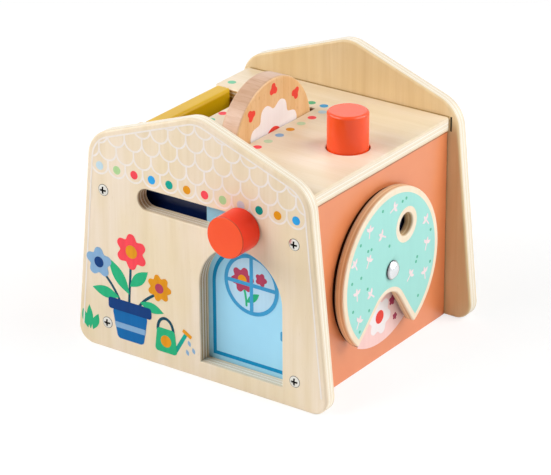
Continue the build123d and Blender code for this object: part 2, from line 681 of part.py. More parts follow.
# Every piece by its node name
def make_pieces():
    """All the pieces of the house, each a solid or a list of like solids."""
    gable_screw = cross_screw(SCREW_HEAD_DIA, SCREW_DIA, SCREW_LENGTH, SCREW_DOME)
    knob_screw = cross_screw(KNOB_SCREW_HEAD_DIA, KNOB_SCREW_DIA, KNOB_SCREW_LENGTH, KNOB_SCREW_DOME)
    small_length = SHELF_THICK + SMALL_SCREW_BITE
    shelf_screw = cross_screw(SMALL_SCREW_HEAD_DIA, SMALL_SCREW_DIA, small_length, SCREW_DOME / 2)
    return {
        "front_gable": make_front_gable(),
        "back_gable": make_back_gable(),
        "roof_board": make_roof_board(),
        "right_wall": make_right_wall(),
        "left_wall": make_left_wall(),
        "base_board": make_base_board(),
        "front_gable_screws": on_gables(gable_screw, True),
        "back_gable_screws": on_gables(gable_screw, False),
        "roof_dowels": [Pos(x, y, 0) * roof_dowel(0) for x, y in roof_dowel_spots()],
        "base_dowels": base_dowels(0),
        "backdrop_board": make_backdrop_board(),
        "door_rail_bottom": door_rail(BASE_THICK, BASE_THICK + RAIL_HEIGHT),
        "door_rail_top": door_rail(DOOR_HEAD + DOOR_SLIDE_GAP, WALL_TOP),
        "sliding_door": make_sliding_door(),
        "door_knob": make_door_knob(),
        "knob_screw": knob_screw_at_door(knob_screw),
        "side_wheel": make_side_wheel(),
        "wheel_bolt": make_wheel_bolt(),
        "wheel_spacer": ring(WALL_OUT, SPACER_DIA, SPACER_THICK),
        "wheel_washer": ring(WALL_IN - WASHER_THICK, WASHER_DIA, WASHER_THICK),
        "wheel_nut": make_wheel_nut(),
        "top_disc": make_top_disc(),
        "disc_axle": make_disc_axle(),
        "axle_clamp_left": make_axle_clamp(-1),
        "axle_clamp_right": make_axle_clamp(1),
        "clamp_screws": make_clamp_screws(),
        "push_button": make_push_button(),
        "button_stop_pin": stop_pin(0),
        "button_spring": make_button_spring(),
        "button_guide": guide(0),
        "button_cheek_front": make_button_cheek(-1),
        "button_cheek_back": make_button_cheek(1),
        "button_shelf": make_button_shelf(),
        "shelf_screws": shelf_screws(shelf_screw),
        "side_flap": make_side_flap(),
        "flap_pins": flap_pins(0, 0),
        "flap_stops": make_flap_stops(),
    }


os.makedirs("parts", exist_ok=True)
for name, piece in make_pieces().items():
    shape = Compound(children=piece) if isinstance(piece, list) else piece
    export_step(shape, "parts/" + name + ".step")
print("door travel", round(DOOR_TRAVEL, 3), "button travel", BUTTON_TRAVEL)
print("door knob at", round(KNOB_X, 3), round(SLOT_Z, 3))
print("disc axis", DISC_AXIS_Y, round(DISC_AXIS_Z, 3), "flap pivot", round(FLAP_PIVOT_X, 3), FLAP_PIVOT_Z)
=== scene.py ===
"""Looks of a wooden activity house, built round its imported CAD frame.

The house is birch plywood and painted boards. Its prints are thin layers of ink, each a closed mesh on the
board that carries it. Sizes are millimetres and angles are degrees unless a name or a comment says otherwise.
"""
import logging
import math
from dataclasses import dataclass
from enum import Enum
from typing import Sequence

import bpy
import numpy as np
from bpy.types import Material, Node, NodeSocket, NodeTree
from mathutils import Matrix, Vector


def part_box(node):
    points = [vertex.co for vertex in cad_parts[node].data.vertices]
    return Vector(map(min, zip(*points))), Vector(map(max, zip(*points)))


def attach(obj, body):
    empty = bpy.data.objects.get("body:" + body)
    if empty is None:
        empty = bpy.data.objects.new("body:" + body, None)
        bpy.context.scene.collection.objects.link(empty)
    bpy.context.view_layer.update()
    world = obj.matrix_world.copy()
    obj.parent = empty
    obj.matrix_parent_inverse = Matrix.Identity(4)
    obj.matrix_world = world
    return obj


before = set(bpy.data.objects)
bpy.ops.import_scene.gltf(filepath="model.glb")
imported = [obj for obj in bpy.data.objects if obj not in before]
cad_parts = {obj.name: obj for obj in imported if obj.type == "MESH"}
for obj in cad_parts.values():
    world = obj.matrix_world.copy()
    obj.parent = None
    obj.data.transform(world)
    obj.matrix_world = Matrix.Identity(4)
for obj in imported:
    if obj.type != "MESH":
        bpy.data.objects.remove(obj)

LOG = logging.getLogger("activity_house")
MM = 0.001
WHITE = (1.0, 1.0, 1.0, 1.0)
COAT_IOR = 1.5
THIN_VENEERS = 5
Pair = tuple[float, float]
Triple = tuple[float, float, float]

# Inputs and output of the Mix node when it mixes colours
MIX_FACTOR, MIX_A, MIX_B, MIX_RESULT = 0, 6, 7, 2


class Axis(Enum):
    """The frame's directions, as places in a vector."""

    X = 0
    Y = 1
    Z = 2


class Facing(Enum):
    """Ways that a printed face can look: its across, up and outward directions."""

    FRONT = ((1, 0, 0), (0, 0, 1), (0, -1, 0))
    TOP = ((1, 0, 0), (0, 1, 0), (0, 0, 1))
    RIGHT = ((0, 1, 0), (0, 0, 1), (1, 0, 0))


# Colours and shader nodes
def linear(code: str) -> tuple[float, float, float, float]:
    """Turns an sRGB hex colour such as "#E9D6B8" into linear red, green, blue and an alpha of 1."""
    srgb = np.array([int(code[i:i + 2], 16) for i in (1, 3, 5)]) / 255
    value = np.where(srgb <= 0.04045, srgb / 12.92, ((srgb + 0.055) / 1.055) ** 2.4)
    return (*(float(v) for v in value), 1.0)


def feed(tree: NodeTree, node: Node, inputs: dict) -> None:
    """Sets a node's inputs, by name or number, to constants, or links them to other nodes' outputs."""
    for socket, value in inputs.items():
        if isinstance(value, NodeSocket):
            tree.links.new(value, node.inputs[socket])
        else:
            node.inputs[socket].default_value = value


def add_node(tree: NodeTree, kind: str, inputs: dict | None = None, **settings) -> Node:
    """Adds a node.

    Args:
        tree: the tree that gets the node.
        kind: the node's type name.
        inputs: input name or number to a constant or to another node's output.
        settings: the node's own properties.

    Returns:
        The new node.
    """
    node = tree.nodes.new(kind)
    for key, value in settings.items():
        setattr(node, key, value)
    feed(tree, node, inputs or {})
    return node


def maths(tree: NodeTree, operation: str, *values: NodeSocket | float, clamp: bool = False) -> NodeSocket:
    """The result of an operation on one or more values, clamped to 0 to 1 if asked."""
    settings = {"operation": operation, "use_clamp": clamp}
    return add_node(tree, "ShaderNodeMath", dict(enumerate(values)), **settings).outputs[0]


def window(
    tree: NodeTree, value: NodeSocket, low: float, high: float, to_low: float = 0.0, to_high: float = 1.0
) -> NodeSocket:
    """Spreads the stretch of a value from low to high over to_low to to_high, and clamps it."""
    limits = {"Value": value, "From Min": low, "From Max": high, "To Min": to_low, "To Max": to_high}
    return add_node(tree, "ShaderNodeMapRange", limits, clamp=True).outputs[0]


def between(tree: NodeTree, value: NodeSocket, low: float, high: float) -> NodeSocket:
    """Is 1 where a value lies between low and high, and otherwise 0."""
    return maths(tree, "COMPARE", value, (low + high) / 2, (high - low) / 2)


def blend(
    tree: NodeTree,
    share: NodeSocket | float,
    first: NodeSocket | str,
    second: NodeSocket | str,
    kind: str = "MIX",
) -> NodeSocket:
    """Blends two colours, each a hex code or a node's output.

    Args:
        tree: the material's tree.
        share: the second colour's share.
        first: the colour where the share is 0.
        second: the colour that comes in with the share.
        kind: the node's name for the way the two are blended.

    Returns:
        The blended colour.
    """
    tones = [linear(tone) if isinstance(tone, str) else tone for tone in (first, second)]
    inputs = {MIX_FACTOR: share, MIX_A: tones[0], MIX_B: tones[1]}
    mix = add_node(tree, "ShaderNodeMix", inputs, data_type="RGBA", blend_type=kind)
    return mix.outputs[MIX_RESULT]


def bump(tree: NodeTree, height: NodeSocket, depth: float) -> NodeSocket:
    """The surface's direction under a fine relief of a height pattern."""
    inputs = {"Height": height, "Strength": 1.0, "Distance": depth * MM}
    return add_node(tree, "ShaderNodeBump", inputs).outputs["Normal"]


def split(tree: NodeTree, coordinate: str) -> Sequence[NodeSocket]:
    """X, Y and Z of the object's own coordinates ("Object") or of the surface's direction ("Normal")."""
    source = add_node(tree, "ShaderNodeTexCoord").outputs[coordinate]
    return add_node(tree, "ShaderNodeSeparateXYZ", {0: source}).outputs


# Finishes
@dataclass(frozen=True)
class Figure:
    """A noise pattern on the object's own coordinates, drawn out along the grain.

    Along and across are its streaks' sizes, detail is how many finer layers it has, roughness is how strong
    they are, and wander is how far it bends. The part of the noise from low to high is what shows.
    """

    along: float
    across: float
    detail: float
    low: float = 0.0
    high: float = 1.0
    wander: float = 0.0
    roughness: float = 0.55

    def noise(self, tree: NodeTree, grain: Axis = Axis.Z) -> NodeSocket:
        """The pattern itself, from 0 to 1."""
        place = add_node(tree, "ShaderNodeTexCoord").outputs["Object"]
        sizes = [self.along if axis is grain else self.across for axis in Axis]
        scale = [1 / (size * MM) for size in sizes]
        inputs = {
            "Vector": add_node(tree, "ShaderNodeMapping", {"Vector": place, "Scale": scale}).outputs[0],
            "Scale": 1.0,
            "Detail": self.detail,
            "Roughness": self.roughness,
            "Distortion": self.wander,
        }
        return add_node(tree, "ShaderNodeTexNoise", inputs).outputs[0]

    def shown(self, tree: NodeTree, grain: Axis = Axis.Z) -> NodeSocket:
        """The part of the pattern that shows, spread over 0 to 1."""
        return window(tree, self.noise(tree, grain), self.low, self.high)


@dataclass(frozen=True)
class Stretch:
    """A stretch of a board that has a tone of its own.

    Spans bound it along one or more axes, and share is how strong the tone is. Without a tone here, the
    finish's own is used.
    """

    share: float
    spans: tuple[tuple[Axis, float, float], ...]
    tone: str = ""

    def mask(self, tree: NodeTree, place: Sequence[NodeSocket]) -> NodeSocket | float:
        """Is the share within the stretch, and otherwise 0.

        Args:
            tree: the material's tree.
            place: X, Y and Z of the object's own coordinates.

        Returns:
            The tone's strength.
        """
        share: NodeSocket | float = self.share
        for axis, low, high in self.spans:
            share = maths(tree, "MULTIPLY", between(tree, place[axis.value], low * MM, high * MM), share)
        return share


class Finish:
    """What all finishes share. Each has a name and gives the inputs of its own shader."""

    name: str

    def inputs(self, tree: NodeTree) -> dict:
        """Adds the finish's nodes.

        Args:
            tree: the material's tree.

        Returns:
            The shader's inputs by name, each a constant or a node's output.
        """
        raise NotImplementedError

    def material(self) -> Material:
        """Builds the finish as a new material on the standard shader."""
        material = bpy.data.materials.new(self.name)
        material.use_nodes = True
        tree = material.node_tree
        feed(tree, tree.nodes["Principled BSDF"], self.inputs(tree))
        return material


class WoodFinish(Finish):
    """A finish on wood, with its own sheen and painted shade in the joints with other boards."""

    roughness: float
    gloss: float
    joints: tuple[Stretch, ...] = ()
    joint_shade_tone: str = ""

    def coat(self, colour: NodeSocket) -> dict:
        """The shader's inputs for a coat of a colour."""
        sheen = {"Roughness": self.roughness, "IOR": COAT_IOR, "Specular IOR Level": self.gloss}
        return sheen | {"Base Color": colour}

    def with_joint_shade(self, tree: NodeTree, place: Sequence[NodeSocket], colour: NodeSocket) -> NodeSocket:
        """A colour, darkened by painted shade in the joints with other boards."""
        # Each joint stretch blends in a dark tone as painted shade.
        for shaded_joint in self.joints:
            colour = blend(tree, shaded_joint.mask(tree, place), colour, shaded_joint.tone or self.joint_shade_tone)
        return colour


@dataclass(frozen=True)
class LacqueredPlywood(WoodFinish):
    """Birch plywood, rotary cut, sanded and clear lacquered.

    The face is pale and calm, with broad clouds, soft streaks and short fine pores along the grain. A cut
    edge shows the stack of veneers: every second one is turned crosswise and shows end grain, with a thin
    line of glue between them. Sanded outer edges are nearly as pale as the face. The walls of openings are
    browned, partly as the brown of the cutter and partly as painted shade, most of all where the grain ends
    and in the glue. Joints with other boards get painted shade. Low and high are the places of its two faces
    along the stack, in metres.
    """

    name: str
    stack: Axis
    grain: Axis
    low: float
    high: float
    openings: tuple[Stretch, ...] = ()
    joints: tuple[Stretch, ...] = ()
    face: str = "#EBD8B7"
    cloud: str = "#EEDDC8"
    streak: str = "#DEC79D"
    pore: str = "#C9AE82"
    long_grain: str = "#F8F0E0"
    end_grain: str = "#EFE2CA"
    glue: str = "#C9B38D"
    # Brown of the openings' cut edges and glue lines: partly the cutter's burn, partly painted shade.
    cut_and_shade_tone: str = "#C9A472"
    burnt_glue_and_shade: str = "#7A5A3C"
    burnt_gain: float = 2.0
    long_browned: float = 0.45
    end_browned: float = 1.35
    # Tone of painted shade in joints that bring no tone of their own.
    joint_shade_tone: str = "#5E452E"
    clouds: Figure = Figure(60.0, 26.0, 2.0, 0.35, 0.7)
    broad: Figure = Figure(150.0, 9.0, 3.0, 0.42, 0.8, wander=0.6)
    broad_share: float = 0.55
    fine: Figure = Figure(60.0, 1.6, 3.0, 0.4, 0.8)
    streak_share: float = 0.3
    pores: Figure = Figure(7.0, 0.7, 1.0, 0.7, 1.0)
    relief: float = 0.03
    veneers: int = 7
    glue_width: float = 0.14
    glue_share: float = 0.6
    roughness: float = 0.4
    gloss: float = 0.35

    def _face(self, tree: NodeTree, fine: NodeSocket) -> NodeSocket:
        """The face veneer's colour, from the noise of its fine streaks and from its other patterns."""
        tone = blend(tree, self.clouds.shown(tree, self.grain), self.face, self.cloud)
        broad = maths(tree, "MULTIPLY", self.broad.shown(tree, self.grain), self.broad_share)
        tone = blend(tree, broad, tone, self.streak)
        thin = window(tree, fine, self.fine.low, self.fine.high)
        tone = blend(tree, maths(tree, "MULTIPLY", thin, self.streak_share), tone, self.streak)
        return blend(tree, self.pores.shown(tree, self.grain), tone, self.pore)

    def _edge(self, tree: NodeTree, level: NodeSocket, place: Sequence[NodeSocket]) -> NodeSocket:
        """The cut edge's colour.

        Args:
            tree: the material's tree.
            level: the depth into the stack, counted in veneers.
            place: X, Y and Z of the object's own coordinates.

        Returns:
            The colour.
        """
        crosswise = maths(tree, "MODULO", maths(tree, "FLOOR", level), 2.0)
        edge = blend(tree, crosswise, self.long_grain, self.end_grain)
        glued = maths(tree, "LESS_THAN", maths(tree, "FRACT", level), self.glue_width)
        edge = blend(tree, maths(tree, "MULTIPLY", glued, self.glue_share), edge, self.glue)
        by_grain = window(tree, crosswise, 0.0, 1.0, self.long_browned, self.end_browned)
        # Openings' edges are browned, partly as the cutter's burn and partly as painted shade.
        for opening in self.openings:
            share = opening.mask(tree, place)
            brown = maths(tree, "MULTIPLY", share, by_grain, clamp=True)
            edge = blend(tree, brown, edge, self.cut_and_shade_tone, "MULTIPLY")
            line = maths(tree, "MULTIPLY", glued, share)
            burnt_and_shaded = maths(tree, "MULTIPLY", line, self.burnt_gain, clamp=True)
            edge = blend(tree, burnt_and_shaded, edge, self.burnt_glue_and_shade)
        return edge

    def inputs(self, tree: NodeTree) -> dict:
        """Adds the plywood's nodes: its face, its edge where the inner veneers show, and painted shade in its
        joints.
        """
        fine = self.fine.noise(tree, self.grain)
        place = split(tree, "Object")
        level = window(tree, place[self.stack.value], self.low, self.high, 0.0, float(self.veneers))
        inner = between(tree, level, 1.0, float(self.veneers - 1))
        colour = blend(tree, inner, self._face(tree, fine), self._edge(tree, level, place))
        return self.coat(self.with_joint_shade(tree, place, colour)) | {"Normal": bump(tree, fine, self.relief)}


@dataclass(frozen=True)
class TurnedBeech(WoodFinish):
    """Steamed beech, turned and clear lacquered.

    It is warm and close, with soft bands of growth along the grain and the short dark flecks that tell beech
    from other woods. Its turned rim cuts across the fibres and looks paler and pinker, with fine dark rays.
    """

    name: str
    grain: Axis
    turned_about: Axis | None = None
    wood: str = "#E6BE8A"
    band: str = "#DBA86B"
    fleck: str = "#BC814C"
    rim: str = "#D0A98C"
    rim_ray: str = "#B98966"
    bands: Figure = Figure(120.0, 5.0, 2.0, 0.35, 0.7)
    fine: Figure = Figure(60.0, 1.3, 2.0, 0.4, 0.75)
    fine_share: float = 0.45
    flecks: Figure = Figure(4.0, 0.8, 0.5, 0.66, 0.9)
    rays: Figure = Figure(14.0, 2.2, 3.0, 0.4, 0.85, wander=0.8)
    rim_to_face: Pair = (0.3, 0.7)
    relief: float = 0.03
    roughness: float = 0.34
    gloss: float = 0.5

    def inputs(self, tree: NodeTree) -> dict:
        """Adds the beech's nodes, with a rim of its own on pieces turned about an axis."""
        fine = self.fine.noise(tree, self.grain)
        colour = blend(tree, self.bands.shown(tree, self.grain), self.wood, self.band)
        lines = blend(tree, window(tree, fine, self.fine.low, self.fine.high), self.wood, self.band)
        colour = blend(tree, self.fine_share, colour, lines)
        colour = blend(tree, self.flecks.shown(tree, self.grain), colour, self.fleck)
        if self.turned_about:
            rim = blend(tree, self.rays.shown(tree, self.turned_about), self.rim, self.rim_ray)
            along = maths(tree, "ABSOLUTE", split(tree, "Normal")[self.turned_about.value])
            colour = blend(tree, window(tree, along, *self.rim_to_face), rim, colour)
        return self.coat(colour) | {"Normal": bump(tree, fine, self.relief)}


@dataclass(frozen=True)
class SatinPaint(WoodFinish):
    """Water-based satin enamel, sprayed on wood.

    It hides the wood and keeps a soft sheen. The spray leaves a faint orange peel, and the colour clouds a
    little from place to place. On turned pieces the side has a deeper colour than the faces as painted shade,
    and a thin darker line shows at the arris. Joints with other boards get painted shade.
    """

    name: str
    colour: str
    cloud: str
    joints: tuple[Stretch, ...] = ()
    # Tone of the painted shade in the joints of painted boards.
    joint_shade_tone: str = "#7A4414"
    turned_about: Axis | None = None
    side: str = ""
    arris: str = ""
    side_to_face: Pair = (0.5, 0.8)
    arris_span: Pair = (0.3, 0.93)
    clouds: Figure = Figure(22.0, 22.0, 2.0, 0.3, 0.75)
    peel: Figure = Figure(1.4, 1.4, 1.0)
    relief: float = 0.012
    roughness: float = 0.36
    gloss: float = 0.5

    def _turned(self, tree: NodeTree, face: NodeSocket) -> NodeSocket:
        """A turned piece's colour, with painted shade on its side, by how far it looks along its axis."""
        along = maths(tree, "ABSOLUTE", split(tree, "Normal")[self.turned_about.value])
        # Painted shade: the side is given a deeper colour than the faces.
        colour = blend(tree, window(tree, along, *self.side_to_face), self.side, face)
        return blend(tree, between(tree, along, *self.arris_span), colour, self.arris)

    def inputs(self, tree: NodeTree) -> dict:
        """Adds the paint's nodes: its clouds, the painted shade in its joints and its orange peel."""
        colour = blend(tree, self.clouds.shown(tree), self.colour, self.cloud)
        colour = self.with_joint_shade(tree, split(tree, "Object"), colour)
        if self.turned_about:
            colour = self._turned(tree, colour)
        return self.coat(colour) | {"Normal": bump(tree, self.peel.noise(tree), self.relief)}


@dataclass(frozen=True)
class ScreenInk(WoodFinish):
    """Opaque screen-printing ink: flat and matt, with the faintest streaks of the wood below."""

    name: str
    colour: str
    below: str
    wood: Figure = Figure(60.0, 3.0, 2.0, 0.3, 0.8)
    roughness: float = 0.45
    gloss: float = 0.15

    def inputs(self, tree: NodeTree) -> dict:
        """Adds the ink's nodes."""
        return self.coat(blend(tree, self.wood.shown(tree), self.colour, self.below))


@dataclass(frozen=True)
class PlatedMetal(Finish):
    """Steel with a thin bright coat: zinc on the screws, chrome on the bolt, bare drawn wire on the spring.

    The side of a polished head is painted dark, as painted shade and reflection of the gap beside it.
    """

    name: str
    colour: str
    roughness: float
    scratch: float = 0.08
    turned_about: Axis | None = None
    # Dark tone painted on a turned head's side as painted shade and reflection.
    side: str = "#34373A"
    side_to_face: Pair = (0.55, 0.75)
    marks: Figure = Figure(3.0, 0.5, 2.0)

    def inputs(self, tree: NodeTree) -> dict:
        """Adds the metal's nodes: its painted dark side, if it has one, and the fine marks in its shine."""
        colour = linear(self.colour)
        if self.turned_about:
            out = window(tree, split(tree, "Normal")[self.turned_about.value], *self.side_to_face)
            colour = blend(tree, out, self.side, self.colour)
        rough = window(tree, self.marks.noise(tree), 0.0, 1.0, self.roughness, self.roughness + self.scratch)
        return {"Metallic": 1.0, "Base Color": colour, "Roughness": rough}


@dataclass(frozen=True)
class ScrewZinc(Finish):
    """Zinc-plated wood screws with punched cross recesses.

    The plating is a pale, soft-bright grey. The recess is painted black as painted shade, and a thin line of
    painted shadow runs round each head where it meets the wood. The four heads lie at equal distances left
    and right of the middle and above and below one height, so one formula finds all four.
    """

    name: str
    half_x: float
    mid_z: float
    half_z: float
    crown: float
    head_radius: float = 4.0
    recess_radius: float = 2.45
    arm_half: float = 0.65
    blur: float = 0.1
    shade_depths: Pair = (0.3, 0.6)
    gap_shade_insets: Pair = (0.45, 0.15)
    zinc: str = "#DEDAD2"
    # Black of the painted shade in the recess and round the head.
    dark: str = "#120D0A"
    roughness: float = 0.3

    def _fold(self, tree: NodeTree, value: NodeSocket, middle: float, half: float) -> NodeSocket:
        """How far a value lies beyond the nearer of two places, half to either side of the middle."""
        away = maths(tree, "ABSOLUTE", maths(tree, "SUBTRACT", value, middle * MM))
        return maths(tree, "SUBTRACT", away, half * MM)

    def inputs(self, tree: NodeTree) -> dict:
        """Adds the screws' nodes: painted shade in the recess, by its arms and its depth, and painted shadow
        round the head.
        """
        place = split(tree, "Object")
        across = self._fold(tree, place[0], 0.0, self.half_x)
        up = self._fold(tree, place[2], self.mid_z, self.half_z)
        least = maths(tree, "MINIMUM", maths(tree, "ABSOLUTE", across), maths(tree, "ABSOLUTE", up))
        arms = window(tree, least, (self.arm_half + self.blur) * MM, (self.arm_half - self.blur) * MM)
        flat = add_node(tree, "ShaderNodeCombineXYZ", {0: across, 1: up}).outputs[0]
        radius = add_node(tree, "ShaderNodeVectorMath", {0: flat}, operation="LENGTH").outputs["Value"]
        # Painted shade: the recess is painted black, and a painted shadow line runs round each head.
        shade = [(self.crown - depth) * MM for depth in self.shade_depths]
        deep = window(tree, maths(tree, "ABSOLUTE", place[1]), *shade)
        middle = window(tree, radius, (self.recess_radius + self.blur) * MM, self.recess_radius * MM)
        recess = maths(tree, "MULTIPLY", maths(tree, "MAXIMUM", deep, arms), middle)
        gap = window(tree, radius, *((self.head_radius - inset) * MM for inset in self.gap_shade_insets))
        dark = maths(tree, "MAXIMUM", recess, gap)
        colour = blend(tree, dark, self.zinc, self.dark)
        return {"Metallic": 1.0, "Roughness": self.roughness, "Base Color": colour}


class Ink(Enum):
    """The inks of the prints, each with its colour and the tone that the wood gives it."""

    WHITE = ("#F1E8E2", "#EADFD4")
    SNOW = ("#F4EFF0", "#EFE8E8")
    PETAL_WHITE = ("#F5E3E3", "#EFDBDC")
    PALE_BLUE = ("#C3DBE6", "#BCD3DE")
    LIGHT_GREEN = ("#B3D79A", "#A9CC8E")
    RED = ("#FB4B57", "#F04450")
    BLUE = ("#2BA3E6", "#2697D8")
    TEAL = ("#00A594", "#009A8A")
    AMBER = ("#E69914", "#DA8F0F")
    PALE_GREY = ("#CFCFD6", "#C6C6CE")
    DARK_TEAL = ("#009288", "#00887F")
    CORAL = ("#EC483C", "#E34236")
    CRIMSON = ("#B5405F", "#AA3A58")
    NAVY = ("#003B7D", "#003573")
    DEEP_BLUE = ("#0069AE", "#0061A3")
    SKY = ("#88AFD3", "#82A8CC")
    LEAF = ("#27B57F", "#23AB77")
    PETROL = ("#0A4A5E", "#094356")
    MINT = ("#A6E1D8", "#A3DED5")
    SEED = ("#63BFA0", "#5DB698")
    JADE = ("#7FCBA3", "#78C49B")
    GRASS = ("#5CB381", "#56AB7A")
    PALE_GREEN = ("#C6DBB4", "#C0D5AD")
    INDIGO = ("#00174A", "#001442")
    PINE = ("#0B4A48", "#094441")
    # A dark brown ink used only as painted shadow in the gap behind the wheel.
    SHADOW_UMBER = ("#3A2116", "#341D13")
    BLUSH = ("#F8D3CE", "#F4CCC7")
    FRAME_BLUE = ("#3F9FD2", "#3A97C9")
    LINE_BLUE = ("#0092CA", "#008BC1")
    PANE = ("#B9DDF2", "#B2D7ED")

    def material(self) -> Material:
        """The ink's material, made once."""
        name = "screen_ink_" + self.name.lower()
        return bpy.data.materials.get(name) or ScreenInk(name, *self.value).material()


# Outlines of prints, as arrays of points that run anticlockwise
def around(angle: np.ndarray) -> np.ndarray:
    """The points of the unit circle at angles in radians."""
    return np.stack([np.cos(angle), np.sin(angle)], axis=-1)


def full_turn(points: int) -> np.ndarray:
    """Even angles round the circle, in radians."""
    return np.arange(points) * 2 * np.pi / points


def circle(centre: Sequence[float], radius: float, points: int = 48) -> np.ndarray:
    """A circle: the centre plus the radius times the cosine and sine of the angle."""
    return np.asarray(centre) + radius * around(full_turn(points))


def turned(outline: np.ndarray, degrees: float, centre: Sequence[float] = (0, 0)) -> np.ndarray:
    """An outline turned anticlockwise about a point."""
    angle = math.radians(degrees)
    matrix = np.array([[math.cos(angle), math.sin(angle)], [-math.sin(angle), math.cos(angle)]])
    return (outline - centre) @ matrix + centre


def polar(degrees: float, reach: float) -> np.ndarray:
    """The point at an angle and a distance from the origin."""
    return reach * np.array([math.cos(math.radians(degrees)), math.sin(math.radians(degrees))])


def rounded(
    corners: Sequence[Sequence[float]], radii: float | Sequence[float], points: int = 12
) -> np.ndarray:
    """A polygon whose corners are arcs that touch both of their sides.

    Args:
        corners: the polygon's corners.
        radii: one radius, or a radius for each corner.
        points: how many points each arc has.

    Returns:
        The outline's points.
    """
    corner = np.asarray(corners, float)
    radius = np.broadcast_to(np.asarray(radii, float), len(corner))[:, None]
    back = np.roll(corner, 1, axis=0) - corner
    ahead = np.roll(corner, -1, axis=0) - corner
    back /= np.linalg.norm(back, axis=1, keepdims=True)
    ahead /= np.linalg.norm(ahead, axis=1, keepdims=True)
    cosine = np.clip((back * ahead).sum(1, keepdims=True), -1, 1)
    half = np.arccos(cosine) / 2
    middle = back + ahead
    middle /= np.linalg.norm(middle, axis=1, keepdims=True)
    centre = corner + middle * radius / np.sin(half)
    first = corner + back * radius / np.tan(half) - centre
    last = corner + ahead * radius / np.tan(half) - centre
    begin = np.arctan2(first[:, 1], first[:, 0])
    sweep = np.arctan2(last[:, 1], last[:, 0]) - begin
    sweep = (sweep + np.pi) % (2 * np.pi) - np.pi
    share = np.linspace(0, 1, points)
    angle = begin[:, None] + sweep[:, None] * share
    return (centre[:, None, :] + around(angle) * radius[:, :, None]).reshape(-1, 2)


def bezier(*controls: Sequence[float], points: int = 24) -> np.ndarray:
    """A cubic curve: its four controls weighted by the Bernstein polynomials of the share along it."""
    t = np.linspace(0, 1, points)[:, None]
    weights = [(1 - t) ** 3, 3 * t * (1 - t) ** 2, 3 * t**2 * (1 - t), t**3]
    return sum(w * np.asarray(control, float) for w, control in zip(weights, controls))


def stroke(path: np.ndarray, width: float, cap_points: int = 8) -> np.ndarray:
    """The outline of a line of even width with round ends.

    Each point moves half the width to either side along the path's normal, and a half circle closes each end.

    Args:
        path: the line's points.
        width: the line's width.
        cap_points: how many points each end has.

    Returns:
        The outline's points.
    """
    along = np.gradient(path, axis=0)
    along /= np.linalg.norm(along, axis=1, keepdims=True)
    side = np.column_stack([along[:, 1], -along[:, 0]]) * width / 2
    share = np.linspace(0, 1, cap_points + 2)[1:-1, None] * np.pi
    end_cap = path[-1] + side[-1] * np.cos(share) + along[-1] * np.sin(share) * width / 2
    start_cap = path[0] - side[0] * np.cos(share) - along[0] * np.sin(share) * width / 2
    return np.vstack([path + side, end_cap, (path - side)[::-1], start_cap])


def leaf(base: Sequence[float], tip: Sequence[float], width: float, points: int = 16) -> np.ndarray:
    """A pointed leaf: two sides that swell with the sine of the way from base to tip."""
    share = np.linspace(0, 1, points)[:, None]
    root = np.asarray(base, float)
    run = np.asarray(tip, float) - root
    side = np.array([run[1], -run[0]]) / np.hypot(*run) * width / 2
    middle = root + run * share
    bulge = side * np.sin(np.pi * share)
    return np.vstack([middle + bulge, (middle - bulge)[-2:0:-1]])


def blossom(
    centre: Sequence[float], radius: float, petals: int, depth: float, turn: float = 0.0, points: int = 12
) -> np.ndarray:
    """A flower's outline: a circle whose radius falls in towards the gaps between its petals.

    Args:
        centre: the flower's middle.
        radius: the petals' reach.
        petals: how many petals there are.
        depth: how far the gaps fall in, as a share of the radius.
        turn: the first petal's angle.
        points: how many points each petal has.

    Returns:
        The outline's points.
    """
    angle = full_turn(petals * points)
    reach = radius * (1 - depth * np.abs(np.sin(petals * angle / 2)) ** 3)
    return turned(around(angle) * reach[:, None], turn) + np.asarray(centre)


def inside(points: np.ndarray, outline: np.ndarray) -> np.ndarray:
    """Tells which points lie inside an outline, by how often a ray to the right crosses it."""
    x, y = points[:, 0, None], points[:, 1, None]
    x0, y0 = outline[:, 0], outline[:, 1]
    x1, y1 = np.roll(x0, -1), np.roll(y0, -1)
    spans = (y0 > y) != (y1 > y)
    rise = np.where(y1 == y0, 1, y1 - y0)
    crossing = x0 + (y - y0) * (x1 - x0) / rise
    return (spans & (x < crossing)).sum(1) % 2 == 1


# Prints
@dataclass
class PrintedFace:
    """A flat face that carries prints. Points on it are given in the frame's own millimetres."""

    facing: Facing
    level: float
    body: str
    slot: str

    @classmethod
    def of(cls, node: str, facing: Facing, body: str, slot: str) -> "PrintedFace":
        """The face at a CAD node's own limit in the direction that it looks.

        Args:
            node: the node's name.
            facing: the way the face looks.
            body: the body that its prints ride on.
            slot: the name of a slot for its prints; not used.

        Returns:
            The face.
        """
        out = np.array(facing.value[2])
        return cls(facing, max(float(corner @ out) for corner in box_mm(node)), body, slot)

    def place(self, points: np.ndarray, lift: float) -> np.ndarray:
        """Puts points across and up the face in the frame, a lift off the face, and in metres."""
        across, up, out = (np.array(d, float) for d in self.facing.value)
        flat = points[:, :1] * across + points[:, 1:] * up
        return (flat + (self.level + lift) * out) * MM


